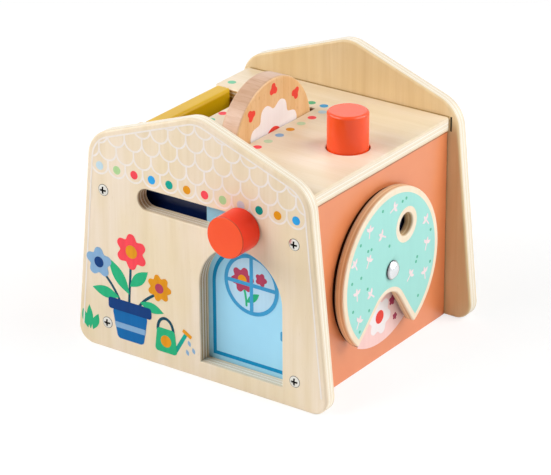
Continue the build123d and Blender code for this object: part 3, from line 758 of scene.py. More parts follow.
class Print:
    """One print on one face: flat shapes of ink in one closed mesh, with a material for each ink."""

    ink_thick = 0.03
    ink_key = 0.02

    def __init__(self, name: str, face: PrintedFace) -> None:
        """Starts an empty print."""
        self.name = name
        self.face = face
        self.points: list[np.ndarray] = []
        self.faces: list[list[int]] = []
        self.face_inks: list[int] = []
        self.inks: list[Ink] = []
        self.count = 0

    def _ink(self, ink: Ink) -> int:
        """The ink's place in the list of inks."""
        if ink not in self.inks:
            self.inks.append(ink)
        return self.inks.index(ink)

    def _store(self, points: np.ndarray, faces: list[list[int]], ink: Ink) -> None:
        """Adds a closed shape to the mesh."""
        self.points.append(points)
        self.faces.extend([[i + self.count for i in face] for face in faces])
        self.face_inks.extend([self._ink(ink)] * len(faces))
        self.count += len(points)

    def fill(self, outline: np.ndarray, ink: Ink, layer: int = 1) -> None:
        """Prints a filled outline: a low prism, with a face above, one below and a strip round its rim.

        Args:
            outline: the shape's points, anticlockwise.
            ink: the ink.
            layer: 1 for ink on the board, 2 for ink on that ink, and so on. Shapes that overlap have
                different layers.
        """
        size = len(outline)
        low = self.face.place(outline, -self.ink_key)
        high = self.face.place(outline, self.ink_thick * layer)
        ring = np.arange(size)
        ahead = np.roll(ring, -1)
        sides = np.column_stack([ring, ahead, ahead + size, ring + size]).tolist()
        caps = [(ring + size).tolist(), ring[::-1].tolist()]
        self._store(np.vstack([low, high]), caps + sides, ink)

    def band(self, inner: np.ndarray, outer: np.ndarray, ink: Ink, layer: int = 1) -> None:
        """Prints the band between two outlines with as many points each: a flat ring of four walls.

        Args:
            inner: the inner outline.
            outer: the outer outline.
            ink: the ink.
            layer: as in fill.
        """
        size = len(inner)
        lift = self.ink_thick * layer
        rings = [(inner, -self.ink_key), (inner, lift), (outer, lift), (outer, -self.ink_key)]
        points = np.vstack([self.face.place(outline, height) for outline, height in rings])
        ring = np.arange(size)
        ahead = np.roll(ring, -1)
        start = np.arange(4)[:, None] * size
        after = (start + size) % (4 * size)
        walls = np.stack([start + ring, after + ring, after + ahead, start + ahead], axis=-1)
        self._store(points, walls.reshape(-1, 4).tolist(), ink)

    def line(self, path: np.ndarray, width: float, ink: Ink, layer: int = 1) -> None:
        """Prints a line of even width."""
        self.fill(stroke(path, width), ink, layer)

    def finish(self) -> None:
        """Makes the mesh and sets it to ride on the face's body."""
        mesh = bpy.data.meshes.new(self.name)
        mesh.from_pydata(np.vstack(self.points).tolist(), [], self.faces)
        for ink in self.inks:
            mesh.materials.append(ink.material())
        mesh.polygons.foreach_set("material_index", self.face_inks)
        mesh.update()
        piece = bpy.data.objects.new(self.name, mesh)
        bpy.context.scene.collection.objects.link(piece)
        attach(piece, self.face.body)
        LOG.info("print %s rides on %s with %d faces", self.name, self.face.body, len(self.faces))


# Help for the sub-assemblies
def box_mm(node: str) -> tuple[np.ndarray, np.ndarray]:
    """A CAD node's lowest and highest corners in millimetres."""
    low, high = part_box(node)
    return np.array(low) / MM, np.array(high) / MM


def dress(finish: Finish, *nodes: str) -> None:
    """Gives CAD nodes one finish.

    Args:
        finish: the finish.
        nodes: the nodes' names.
    """
    material = finish.material()
    for node in nodes:
        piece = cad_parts[node]
        if not piece.material_slots:
            piece.data.materials.append(material)
        for slot in piece.material_slots:
            slot.material = material
        LOG.info("node %s is finished in %s", node, material.name)


def plywood(node: str, stack: Axis, grain: Axis, **changes) -> None:
    """Dresses a CAD node in plywood whose veneers fill the node's own thickness.

    Args:
        node: the node's name.
        stack: the direction of the node's thickness.
        grain: the direction of the face's grain.
        changes: any of the plywood's own values that differ.
    """
    low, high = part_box(node)
    spans = {"low": low[stack.value], "high": high[stack.value]}
    dress(LacqueredPlywood("birch_plywood_" + node, stack, grain, **spans, **changes), node)


# Sub-assemblies
@dataclass
class Shell:
    """The gables, walls, roof and base, with their screws and dowels."""

    terracotta: tuple[str, str] = ("#E88B56", "#E48550")
    wall_roughness: float = 0.34
    wall_gloss: float = 1.0
    navy: tuple[str, str] = ("#00205A", "#001C50")
    zinc: str = "#C9C5BD"
    zinc_roughness: float = 0.24
    back_share: float = 0.15
    front_share: float = 0.2
    roof_roughness: float = 0.36
    roof_gloss: float = 0.6
    # Browned cut edges of openings, partly the cutter's brown and partly painted shade: strong in the door's
    # jamb and arch, at the slot's left end and in the roof's openings, faint on the sill, which faces up.
    arch: Stretch = Stretch(0.62, ((Axis.X, -10.0, 72.0), (Axis.Z, 12.3, 102.0)))
    sill: Stretch = Stretch(0.12, ((Axis.X, -10.0, 72.0), (Axis.Z, 8.0, 12.3)))
    slot: Stretch = Stretch(0.2, ((Axis.X, -60.0, 60.0), (Axis.Z, 103.0, 126.0)))
    slot_end: Stretch = Stretch(0.5, ((Axis.X, -60.0, -42.0), (Axis.Z, 103.0, 126.0)))
    roof_openings: Stretch = Stretch(1.0, ((Axis.X, -79.0, 79.0), (Axis.Y, -77.0, 77.0)))
    joint_depth: float = 1.1
    joint_rise: float = 0.15
    joint_end: float = 1.0
    # Painted shade on the back gable along the roof board, and black painted shadow beside the board's
    # corner.
    roof_joint_shade_share: float = 0.6
    roof_joint_shade_tone: str = "#9B7424"
    corner_overlap: float = 0.2
    corner_gap: float = 1.05
    corner_shade_share: float = 1.0
    corner_shade_tone: str = "#0A0402"
    slot_room: float = 2.0
    slot_rim: float = 0.8
    slot_shade_share: float = 0.75
    slot_shade_tone: str = "#6A3416"
    eaves_depth: float = 1.7
    end_shade_share: float = 0.6

    def gables(self) -> None:
        """Dresses the gables; the back one gets painted shade under the roof board and by its corner."""
        openings = (self.arch, self.sill, self.slot, self.slot_end)
        plywood("front_gable", Axis.Y, Axis.Z, openings=openings, streak_share=self.front_share)
        low, high = box_mm("roof_board")
        gable, _ = box_mm("back_gable")
        inner_face = (Axis.Y, gable[1] - self.joint_end, gable[1] + self.joint_end)
        across = (Axis.X, low[0] + self.joint_end, high[0] - self.joint_end)
        line = (Axis.Z, high[2] - self.joint_depth, high[2] + self.joint_rise)
        # Painted shade: a dark line on the back gable where the roof board meets it.
        shaded_joint = Stretch(self.roof_joint_shade_share, (across, line, inner_face), self.roof_joint_shade_tone)
        # Painted shadow: a black stretch beside the roof board's corner, where the gap to the gable lies in
        # shade.
        beside = (Axis.X, high[0] - self.corner_overlap, high[0] + self.corner_gap)
        height = (Axis.Z, low[2] - self.joint_end, high[2])
        corner = Stretch(self.corner_shade_share, (beside, height, inner_face), self.corner_shade_tone)
        # The back gable's face is painted darker and warmer than the front's as painted shade: it is the same
        # birch in less light.
        warm = {"face": "#E5C998", "cloud": "#E8CFA4", "streak": "#D0AC76", "streak_share": self.back_share}
        plywood("back_gable", Axis.Y, Axis.Z, joints=(shaded_joint, corner), **warm)

    def boards(self) -> None:
        """Dresses the roof board, whose slot has painted shade below its rim, the base board and the rails.
        """
        low, high = box_mm("roof_board")
        disc_low, disc_high = box_mm("top_disc")
        # Painted shade: the disc's slot is darkened below its rim, where one looks into the house.
        beside_disc = (Axis.X, disc_low[0] - self.slot_room, disc_high[0] + self.slot_room)
        below_rim = (Axis.Z, low[2], high[2] - self.slot_rim)
        places = {
            "openings": (self.roof_openings,),
            "joints": (Stretch(self.slot_shade_share, (beside_disc, below_rim), self.slot_shade_tone),),
        }
        sheen = {"gloss": self.roof_gloss, "roughness": self.roof_roughness}
        plywood("roof_board", Axis.Z, Axis.X, **places, **sheen)
        plywood("base_board", Axis.Z, Axis.X, veneers=THIN_VENEERS)
        for rail in ("door_rail_bottom", "door_rail_top"):
            plywood(rail, Axis.Y, Axis.X, veneers=THIN_VENEERS)

    def paints(self) -> None:
        """Paints the walls, with painted shade under the eaves and at their back ends, and the backdrop."""
        roof, _ = box_mm("roof_board")
        _, wall = box_mm("right_wall")
        # Painted shade: the wall's top under the roof board's overhang, and its back end at the gable.
        spans = (
            (Axis.Z, roof[2] - self.eaves_depth, roof[2] + self.joint_rise),
            (Axis.Y, wall[1] - self.joint_depth, wall[1] + self.joint_rise),
        )
        joints = tuple(Stretch(self.end_shade_share, (span,)) for span in spans)
        sheen = {"roughness": self.wall_roughness, "gloss": self.wall_gloss}
        terracotta = SatinPaint("satin_enamel_terracotta", *self.terracotta, joints, **sheen)
        dress(terracotta, "right_wall", "left_wall")
        dress(SatinPaint("satin_enamel_navy", *self.navy), "backdrop_board")

    def hardware(self) -> None:
        """Dresses the screws, pins and dowels."""
        low, high = box_mm("front_gable_screws")
        spread = (high - low) / 2 - ScrewZinc.head_radius
        middle = (high[2] + low[2]) / 2
        screws = ScrewZinc("zinc_plated_cross_screws", spread[0], middle, spread[2], -low[1])
        dress(screws, "front_gable_screws", "back_gable_screws")
        steel = (
            "knob_screw", "wheel_spacer", "wheel_washer", "wheel_nut", "disc_axle",
            "clamp_screws", "shelf_screws", "button_stop_pin", "flap_pins",
        )
        dress(PlatedMetal("zinc_plated_steel", self.zinc, self.zinc_roughness), *steel)
        wooden = ("roof_dowels", "base_dowels", "axle_clamp_left", "axle_clamp_right", "flap_stops")
        dress(TurnedBeech("beech_dowel", Axis.Z), *wooden)

    def build(self) -> None:
        """Gives the shell's nodes their finishes."""
        self.gables()
        self.boards()
        self.paints()
        self.hardware()


@dataclass
class GablePrint:
    """Fish-scale roof, border line, dots and a garden on the front gable."""

    floor_half: float = 100.0
    eaves_half: float = 85.2
    eaves_z: float = 149.3
    peak_z: float = 180.0
    corner_radii: tuple[float, ...] = (11.5, 11.5, 22.0, 22.0, 22.0)
    border_inset: float = 4.0
    border_width: float = 1.1
    border_foot: float = 13.0
    scale_pitch: float = 13.9
    scale_first: float = -76.9
    scale_count: int = 12
    scale_rows: int = 6
    row_rise: float = 10.65
    row_low: float = 124.1
    scale_line: float = 1.25
    arc_points: int = 33
    upright_points: int = 9
    dot_z: float = 129.4
    dot_radius: float = 2.9
    stem_width: float = 1.9
    handle_width: float = 2.0
    blade_width: float = 5.4
    ground_z: float = 10.5
    drop_size: Pair = (4.6, 2.4)
    drop_lean: float = 20.0

    def face(self) -> PrintedFace:
        """The gable's front face."""
        return PrintedFace.of("front_gable", Facing.FRONT, "house", "birch_plywood")

    def border(self) -> np.ndarray:
        """The border line's outline: the gable's own outline moved inwards by the inset.

        Returns:
            The outline's points.
        """
        half, eaves = self.floor_half, self.eaves_half
        right = [(half, 0.0), (eaves, self.eaves_z), (0.0, self.peak_z)]
        corners = np.array([(-half, 0.0), *right, (-eaves, self.eaves_z)])
        ahead = np.roll(corners, -1, axis=0) - corners
        ahead /= np.linalg.norm(ahead, axis=1, keepdims=True)
        inward = np.column_stack([-ahead[:, 1], ahead[:, 0]])
        reach = (inward * corners).sum(1) + self.border_inset
        before = np.roll(inward, 1, axis=0)
        reach_before = np.roll(reach, 1)
        pairs = np.stack([before, inward], axis=1)
        moved = np.linalg.solve(pairs, np.stack([reach_before, reach], axis=1)[..., None])[..., 0]
        return rounded(moved, np.array(self.corner_radii) - self.border_inset)

    def scale_paths(self, outline: np.ndarray) -> list[tuple[np.ndarray, int]]:
        """The scales' lines, cut off at the border.

        Each scale hangs as a half circle between two short upright lines, which start at the lowest points of
        the row above. Every second row is moved by half a scale.

        Args:
            outline: the border.

        Returns:
            The lines that lie inside the border, each with its layer.
        """
        radius = self.scale_pitch / 2
        arc = around(np.linspace(np.pi, 2 * np.pi, self.arc_points)) * radius
        upright = np.linspace((-radius, self.row_rise - radius), (-radius, 0.0), self.upright_points)
        paths = []
        for row in range(self.scale_rows):
            shift = radius * (row % 2)
            for step in range(-1, self.scale_count + 1):
                x = self.scale_first + step * self.scale_pitch + shift
                z = self.row_low + radius + row * self.row_rise
                paths += [(arc + (x, z), 1 + step % 2), (upright + (x, z), 3)]
        kept = []
        for path, layer in paths:
            within = path[inside(path, outline)]
            if len(within) > 2:
                kept.append((within, layer))
        return kept

    def roof_print(self) -> None:
        """Prints the scales, the border line and the row of dots."""
        outline = self.border()
        scales = Print("gable_scale_print", self.face())
        for path, layer in self.scale_paths(outline):
            scales.line(path, self.scale_line, Ink.WHITE, layer)
        start = int(np.argmin(np.hypot(*(outline - (self.floor_half, self.border_foot)).T)))
        open_line = np.roll(outline, -start, axis=0)
        open_line = open_line[open_line[:, 1] > self.border_foot]
        foot_share = self.border_foot / self.eaves_z
        foot_x = self.floor_half + (self.eaves_half - self.floor_half) * foot_share - self.border_inset
        ends = np.array([(foot_x, self.border_foot), (-foot_x, self.border_foot)])
        open_line = np.vstack([ends[:1], open_line, ends[1:]])
        scales.line(open_line, self.border_width, Ink.WHITE, layer=4)
        scales.finish()
        dots = Print("gable_dot_print", self.face())
        order = (
            Ink.PALE_BLUE, Ink.LIGHT_GREEN, Ink.RED, Ink.BLUE, Ink.TEAL, Ink.AMBER,
            Ink.RED, Ink.LIGHT_GREEN, Ink.PALE_GREY, Ink.DARK_TEAL, Ink.AMBER, Ink.BLUE,
        )
        for step, ink in enumerate(order):
            centre = (self.scale_first + step * self.scale_pitch, self.dot_z)
            dots.fill(circle(centre, self.dot_radius), ink)
        dots.finish()

    def garden_print(self) -> None:
        """Prints a pot of flowers and a watering can, low on the left."""
        garden = Print("gable_garden_print", self.face())
        self.pot_plants(garden)
        self.pot(garden)
        self.watering_can(garden)
        garden.finish()

    def blocks(self, garden: Print, shapes: Sequence[tuple]) -> None:
        """Prints polygons with round corners, each given by its corners, radius, ink and layer."""
        for corners, radius, ink, layer in shapes:
            garden.fill(rounded(corners, radius), ink, layer)

    def pot(self, garden: Print) -> None:
        """Prints the flower pot with its stripe and rim."""
        body = ((-66.0, 10.5), (-45.0, 10.5), (-41.0, 32.0), (-70.0, 32.0))
        stripe = ((-67.6, 18.0), (-43.4, 18.0), (-42.6, 22.0), (-68.4, 22.0))
        rim = ((-73.0, 30.5), (-38.0, 30.5), (-38.0, 38.5), (-73.0, 38.5))
        shapes = ((body, 3.0, Ink.DEEP_BLUE, 6), (stripe, 0.8, Ink.SKY, 7), (rim, 2.0, Ink.NAVY, 8))
        self.blocks(garden, shapes)

    def pot_plants(self, garden: Print) -> None:
        """Prints the stems, leaves and flowers that stand in the pot."""
        stems = (
            ((-56, 34), (-56, 46), (-54, 56), (-54, 68)),
            ((-62, 34), (-66, 44), (-72, 50), (-78, 56)),
            ((-50, 34), (-46, 42), (-40, 46), (-34, 50)),
        )
        for stem in stems:
            garden.line(bezier(*stem), self.stem_width, Ink.PETROL)
        leaves = (
            ((-55.5, 44), (-72, 66), 9.0),
            ((-55, 50), (-40, 64), 8.0),
            ((-64, 40), (-86, 42), 8.0),
            ((-47, 41), (-28, 38), 7.0),
        )
        for number, (base, tip, width) in enumerate(leaves):
            garden.fill(leaf(base, tip, width), Ink.LEAF, layer=2 + number)
        flowers = (
            ((-53, 75), 12.5, 6, 0.28, 30, Ink.RED, 4.6, Ink.AMBER),
            ((-80, 61), 10.5, 5, 0.3, 18, Ink.SKY, 3.8, Ink.NAVY),
            ((-31, 55), 9.5, 7, 0.25, 0, Ink.AMBER, 3.4, Ink.CRIMSON),
        )
        for spot, radius, petals, depth, turn, ink, eye, eye_ink in flowers:
            garden.fill(blossom(spot, radius, petals, depth, turn), ink, layer=6)
            garden.fill(circle(spot, eye), eye_ink, layer=7)

    def watering_can(self, garden: Print) -> None:
        """Prints the watering can with its handle, spout, rose and drops, and a tuft of grass."""
        handle = bezier((-33.0, 26), (-33, 37), (-22, 38), (-20.5, 27), points=28)
        garden.line(handle, self.handle_width, Ink.PETROL, layer=6)
        spout = ((-21.0, 13.0), (-17.5, 13.0), (-8.5, 28.5), (-11.0, 29.5))
        body = ((-35.5, 10.5), (-17.5, 10.5), (-19.5, 27.5), (-33.5, 27.5))
        rose = ((-13.4, 29.2), (-6.6, 25.4), (-5.4, 27.8), (-12.2, 31.6))
        self.blocks(garden, ((spout, 0.8, Ink.TEAL, 1), (body, 2.4, Ink.LEAF, 7)))
        garden.fill(circle((-26.5, 18.6), radius=4.2), Ink.AMBER, layer=8)
        self.blocks(garden, ((rose, 0.7, Ink.AMBER, 3),))
        length, width = self.drop_size
        for x, z in ((-7.0, 20.0), (-3.6, 15.6), (-8.6, 13.2)):
            garden.fill(turned(leaf((x, z), (x, z + length), width), self.drop_lean, (x, z)), Ink.SKY)
        blades = ((-91.0, -95.0, 24.0), (-89.0, -89.5, 28.0), (-87.0, -82.0, 23.0))
        for number, (root_x, *tip) in enumerate(blades):
            garden.fill(leaf((root_x, self.ground_z), tip, self.blade_width), Ink.LEAF, layer=1 + number)

    def build(self) -> None:
        """Makes all the gable's prints."""
        self.roof_print()
        self.garden_print()


@dataclass
class RoofPrint:
    """Dots in a ring round the disc's slot and in rows round the finger notch."""

    dot_radius: float = 2.9
    ring_half_x: float = 15.3
    ring_rows: tuple[float, ...] = (39.1, 27.2, 14.9, 2.6, -9.4, -21.8, -33.6, -45.6)
    ring_end_pitch: float = 10.0
    ring_back: float = 48.6
    ring_front: float = -56.4
    notch_row_x: float = -44.9
    notch_rows: tuple[float, ...] = (26.7, 13.5, 0.3, -12.9, -26.1)
    notch_end_x: tuple[float, ...] = (-73.2, -60.0)
    notch_end_y: float = 49.1

    def places(self) -> list[tuple[float, float, Ink]]:
        """The dots' places and inks.

        Returns:
            Across, up and ink for each dot.
        """
        low, high = box_mm("top_disc")
        middle = (low[0] + high[0]) / 2
        sides = (
            (Ink.PALE_BLUE, Ink.RED, Ink.PALE_GREEN, Ink.AMBER, Ink.SKY, Ink.PALE_GREEN, Ink.RED, Ink.AMBER),
            (Ink.AMBER, Ink.JADE, Ink.SKY, Ink.RED, Ink.PALE_GREEN, Ink.AMBER, Ink.PALE_BLUE, Ink.RED),
        )
        spots = []
        for x, inks in zip((middle + self.ring_half_x, middle - self.ring_half_x), sides):
            spots += [(x, y, ink) for y, ink in zip(self.ring_rows, inks)]
        ends = (
            (self.ring_back, (Ink.RED, Ink.GRASS, Ink.FRAME_BLUE)),
            (self.ring_front, (Ink.JADE, Ink.RED, Ink.FRAME_BLUE)),
        )
        for y, inks in ends:
            spots += [(middle + step * self.ring_end_pitch, y, ink) for step, ink in zip((-1, 0, 1), inks)]
        column = (Ink.SKY, Ink.AMBER, Ink.RED, Ink.JADE, Ink.BLUE)
        spots += [(self.notch_row_x, y, ink) for y, ink in zip(self.notch_rows, column)]
        for x, back, front in zip(self.notch_end_x, (Ink.JADE, Ink.RED), (Ink.AMBER, Ink.SKY)):
            spots += [(x, self.notch_end_y, back), (x, -self.notch_end_y, front)]
        return spots

    def build(self) -> None:
        """Prints the dots."""
        dots = Print("roof_dot_print", PrintedFace.of("roof_board", Facing.TOP, "house", "birch_plywood"))
        for across, up, ink in self.places():
            dots.fill(circle((across, up), self.dot_radius), ink)
        dots.finish()


@dataclass
class SlidingDoor:
    """The door with its printed border, round window and handle, its knob and the night sky behind it."""

    arch_x: float = 33.0
    arch_radius: float = 29.0
    arch_spring: float = 66.3
    arch_foot: float = 15.0
    arch_points: int = 40
    line_width: float = 2.6
    window_x: float = 34.5
    window_z: float = 71.0
    window_radius: float = 20.9
    window_line: float = 2.6
    window_points: int = 96
    stem_width: float = 1.6
    moon: Triple = (40.0, 72.0, 10.0)
    moon_shade: Triple = (44.0, 75.0, 8.6)
    stars: tuple[Triple, ...] = (
        (18.0, 82.0, 2.2), (20.0, 58.0, 1.6), (34.0, 48.0, 2.4),
        (50.0, 52.0, 1.6), (27.0, 32.0, 2.0), (47.0, 30.0, 2.4),
    )
    panel: tuple[str, str] = ("#A3DEF9", "#9FDAF6")
    panel_gloss: float = 0.25
    knob: tuple[str, str] = ("#FA541E", "#F74E19")
    # The knob's side colour is deeper than its face as painted shade.
    knob_shaded_side: str = "#F2300B"
    knob_arris: str = "#CC4221"
    knob_roughness: float = 0.3
    knob_gloss: float = 0.32

    def arch(self, radius: float, foot: float) -> np.ndarray:
        """An arch-shaped outline: a half circle on two uprights.

        Args:
            radius: half the arch's width.
            foot: the height of its lower edge.

        Returns:
            The outline's points.
        """
        half_turn = np.linspace(0, np.pi, self.arch_points)
        top = around(half_turn) * radius + (self.arch_x, self.arch_spring)
        base = [(self.arch_x - radius, foot), (self.arch_x + radius, foot)]
        return np.vstack([top, base])

    def door_print(self) -> None:
        """Prints the border, the window and the handle."""
        door = Print("door_print", PrintedFace.of("sliding_door", Facing.FRONT, "door", "door_blue"))
        outer = self.arch(self.arch_radius, self.arch_foot)
        inner = self.arch(self.arch_radius - self.line_width, self.arch_foot + self.line_width)
        door.band(inner, outer, Ink.LINE_BLUE)
        self.window(door)
        plate = ((56.6, 38.2), (59.4, 38.2), (59.4, 45.0), (56.6, 45.0))
        door.fill(rounded(plate, radii=1.3), Ink.FRAME_BLUE)
        door.finish()

    def window(self, door: Print) -> None:
        """Prints the round window with its bars and a flower behind the panes."""
        centre = np.array([self.window_x, self.window_z])
        inner_radius = self.window_radius - self.window_line
        half = inner_radius + self.window_line / 2
        door.fill(circle(centre, half, self.window_points), Ink.PANE)
        self.window_flower(door, centre)
        edges = [circle(centre, radius, self.window_points) for radius in (inner_radius, self.window_radius)]
        door.band(*edges, Ink.FRAME_BLUE, layer=8)
        ends = np.linspace(-half, half, 3)
        door.line(centre + np.column_stack([ends, 0 * ends]), self.window_line, Ink.FRAME_BLUE, layer=7)
        door.line(centre + np.column_stack([0 * ends, ends]), self.window_line, Ink.FRAME_BLUE, layer=6)

    def window_flower(self, door: Print, centre: np.ndarray) -> None:
        """Prints the flower behind the panes.

        Args:
            door: the door's print.
            centre: the window's middle.
        """
        head = centre + (-7.0, 2.0)
        stem = bezier(centre + (-4, -15), centre + (-4, -8), head + (1, -6), head)
        door.line(stem, self.stem_width, Ink.LEAF, layer=2)
        door.fill(leaf(centre + (-4, -13), centre + (6, -5), width=5.0), Ink.LEAF, layer=3)
        door.fill(blossom(head, radius=9.0, petals=6, depth=0.28, turn=12), Ink.CRIMSON, layer=4)
        door.fill(circle(head, radius=3.4), Ink.AMBER, layer=5)
        bud = blossom(centre + (7.5, 5.5), radius=4.6, petals=5, depth=0.26)
        door.fill(bud, Ink.CRIMSON, layer=3)

    def sky_print(self) -> None:
        """Prints the moon and stars on the board behind the door."""
        sky = Print("night_sky_print", PrintedFace.of("backdrop_board", Facing.FRONT, "house", "navy_paint"))
        sky.fill(circle(self.moon[:2], self.moon[2]), Ink.AMBER)
        sky.fill(circle(self.moon_shade[:2], self.moon_shade[2]), Ink.NAVY, layer=2)
        for x, z, radius in self.stars:
            sky.fill(blossom((x, z), radius, petals=4, depth=0.6, turn=45), Ink.SNOW)
        sky.finish()

    def build(self) -> None:
        """Dresses the door and makes its prints."""
        dress(SatinPaint("satin_enamel_door_blue", *self.panel, gloss=self.panel_gloss), "sliding_door")
        sheen = {"roughness": self.knob_roughness, "gloss": self.knob_gloss}
        tones = {"turned_about": Axis.Y, "side": self.knob_shaded_side, "arris": self.knob_arris}
        dress(SatinPaint("satin_enamel_orange_red", *self.knob, **tones, **sheen), "door_knob")
        self.door_print()
        self.sky_print()


@dataclass
class TurningWheel:
    """The notched wheel with its mint print, its bolt, and the print on the wall behind it."""

    axis_z: float = 65.8
    print_radius: float = 51.0
    notch_start: float = 6.5
    notch_angle: float = 82.0
    notch_turn: float = -6.6
    notch_root: float = 17.5
    notch_border: float = 3.5
    hole_y: float = 16.67
    hole_z: float = 91.46
    hole_ring: float = 12.1
    sprig_size: float = 8.4
    stem_span: Pair = (-0.48, 0.1)
    stem_width: float = 0.13
    leaf_span: Pair = (0.04, 0.6)
    leaf_width: float = 0.26
    leaf_spread: float = 56.0
    sprigs: tuple[Triple, ...] = (
        (4, 41, 70), (-24, 43, 100), (-30, 25, 40), (88, 42, 20), (112, 30, 150), (126, 44, 80),
        (150, 31, 60), (156, 46, 120), (184, 40, 95), (200, 25, 140), (211, 44, 60), (26, 45, 130),
    )
    seed_radius: float = 1.1
    seed_points: int = 16
    outline_points: int = 720
    shadow_ring_points: int = 120
    rim_points: int = 40
    seeds: tuple[Pair, ...] = (
        (14, 47), (-4, 30), (-10, 29), (-14, 47), (-44, 44), (70, 47), (75, 45), (104, 46), (100, 18),
        (136, 33), (140, 36), (140, 47), (168, 36), (171, 46), (186, 28), (196, 46), (216, 32), (219, 47),
    )
    buds: tuple[Triple, ...] = ((9, 33, 3.6), (24, 44, 4.2), (6, 46, 2.6))
    shown_reach: float = 54.8
    # The hidden quarters stop short of the shown one, so the painted shadow ring shows beyond them beside the
    # wheel.
    hidden_reach: float = 50.5
    shadow_ring_reach: float = 53.5
    shadow_ring_shift: Pair = (-0.5, 0.0)
    shade_arris_depth: float = 1.3
    shade_arris_share: float = 0.6
    scene_turn: float = 287.0
    flower_turn: float = 17.0
    flower_away: float = 36.0
    flower_radius: float = 13.0
    flower_eye: float = 4.6
    gloss: float = 0.9
    chrome: str = "#E6E8EA"
    chrome_roughness: float = 0.16
    chrome_scratch: float = 0.03

    def mint_outline(self) -> np.ndarray:
        """The mint print's outer edge, about the hub.

        In each direction from the hub it reaches the print's circle, or the notch if that comes first. The
        notch is a wedge whose root is a circle that touches both sides, and the bare border widens both.

        Returns:
            The outline's points.
        """
        half = math.radians(self.notch_angle / 2)
        drop = self.notch_start + self.notch_root / math.sin(half)
        root = self.notch_root + self.notch_border
        apex = drop - root / math.sin(half)
        angle = full_turn(self.outline_points)
        off_axis = np.abs((angle + np.pi) % (2 * np.pi) - np.pi)
        across = np.sin(off_axis)
        down = np.cos(off_axis)
        reach = np.full(len(angle), self.print_radius)
        room = root**2 - (drop * across) ** 2
        at_root = drop * down - np.sqrt(np.maximum(room, 0))
        touch = drop - root * math.sin(half)
        hits_root = (room > 0) & (down > 0) & (at_root * down < touch)
        slope = across * math.cos(half) - down * math.sin(half)
        at_side = -apex * math.sin(half) / np.where(slope == 0, 1, slope)
        hits_side = (slope < 0) & (at_side * down >= touch) & (down > 0)
        reach = np.where(hits_root, np.minimum(reach, at_root), reach)
        reach = np.where(hits_side, np.minimum(reach, at_side), reach)
        return around(angle - np.pi / 2 + math.radians(self.notch_turn)) * reach[:, None]

    def wheel_print(self) -> None:
        """Prints the mint ground with its sprigs and seeds."""
        wheel = Print("wheel_print", PrintedFace.of("side_wheel", Facing.RIGHT, "wheel", "mint_paint"))
        outer = self.mint_outline() + (0, self.axis_z)
        hole = np.array([self.hole_y, self.hole_z])
        away = outer - hole
        inner = hole + self.hole_ring * away / np.linalg.norm(away, axis=1, keepdims=True)
        wheel.band(inner, outer, Ink.MINT)
        hub = np.array([0.0, self.axis_z])
        for degrees, reach, turn in self.sprigs:
            self.sprig(wheel, hub + polar(degrees, reach), turn)
        for degrees, reach in self.seeds:
            seed = circle(hub + polar(degrees, reach), self.seed_radius, self.seed_points)
            wheel.fill(seed, Ink.SEED, layer=2)
        wheel.finish()

    def sprig(self, wheel: Print, spot: np.ndarray, turn: float) -> None:
        """Prints one white sprig: a stem with three leaves.

        Args:
            wheel: the wheel's print.
            spot: the place where the leaves meet.
            turn: the way the sprig points.
        """
        size = self.sprig_size
        stem = np.linspace(*(spot + polar(turn, share * size) for share in self.stem_span), 6)
        wheel.line(stem, self.stem_width * size, Ink.PETAL_WHITE, layer=2)
        near, far = self.leaf_span
        for number in range(3):
            root = spot + polar(turn, near * size)
            tip = spot + polar(turn + (number - 1) * self.leaf_spread, far * size)
            wheel.fill(leaf(root, tip, self.leaf_width * size), Ink.PETAL_WHITE, layer=3 + number)

    def wall_print(self) -> None:
        """Prints the round picture that the notch shows a quarter at a time, over a dark painted shadow ring.
        """
        face = PrintedFace.of("right_wall", Facing.RIGHT, "house", "terracotta_paint")
        scenes = Print("wall_flower_print", face)
        hub = np.array([0.0, self.axis_z])
        # Painted shadow: a dark ring under the picture, which shows in the gap between the wheel's edge and
        # the wall.
        scenes.fill(circle(hub + self.shadow_ring_shift, self.shadow_ring_reach, self.shadow_ring_points), Ink.SHADOW_UMBER)
        quarters = (
            (self.shown_reach, Ink.BLUSH, Ink.SNOW, Ink.CORAL, Ink.CRIMSON),
            # This quarter's dark indigo ground, seen through the finger hole, is print that also stands in as
            # painted shade inside the hole.
            (self.hidden_reach, Ink.INDIGO, Ink.AMBER, Ink.RED, Ink.SKY),
            (self.hidden_reach, Ink.LIGHT_GREEN, Ink.SNOW, Ink.AMBER, Ink.TEAL),
            (self.hidden_reach, Ink.PINE, Ink.SKY, Ink.NAVY, Ink.AMBER),
        )
        quarter = 360 / len(quarters)
        for number, (reach, ground, petal, middle, bud) in enumerate(quarters):
            centre = self.scene_turn + quarter * number
            spread = np.linspace(centre - quarter / 2, centre + quarter / 2, self.rim_points)
            rim = [hub + polar(degrees, reach) for degrees in spread]
            scenes.fill(np.vstack([hub, *rim]), ground, layer=2)
            spot = hub + polar(centre - self.flower_turn, self.flower_away)
            flower = blossom(spot, self.flower_radius, petals=6, depth=0.24, turn=centre)
            scenes.fill(flower, petal, layer=3)
            scenes.fill(circle(spot, self.flower_eye), middle, layer=4)
            for degrees, away, radius in self.buds:
                place = hub + polar(centre + degrees, away)
                shape = blossom(place, radius, petals=5, depth=0.3, turn=centre + degrees)
                scenes.fill(shape, bud, layer=5)
        scenes.finish()

    def build(self) -> None:
        """Dresses the wheel and makes its prints."""
        tones = {"face": "#F4E1C4", "cloud": "#F6E6CE", "streak": "#EBD2AC"}
        tones |= {"long_grain": "#F0D5AC", "end_grain": "#E0BB8C", "glue": "#C29A6C"}
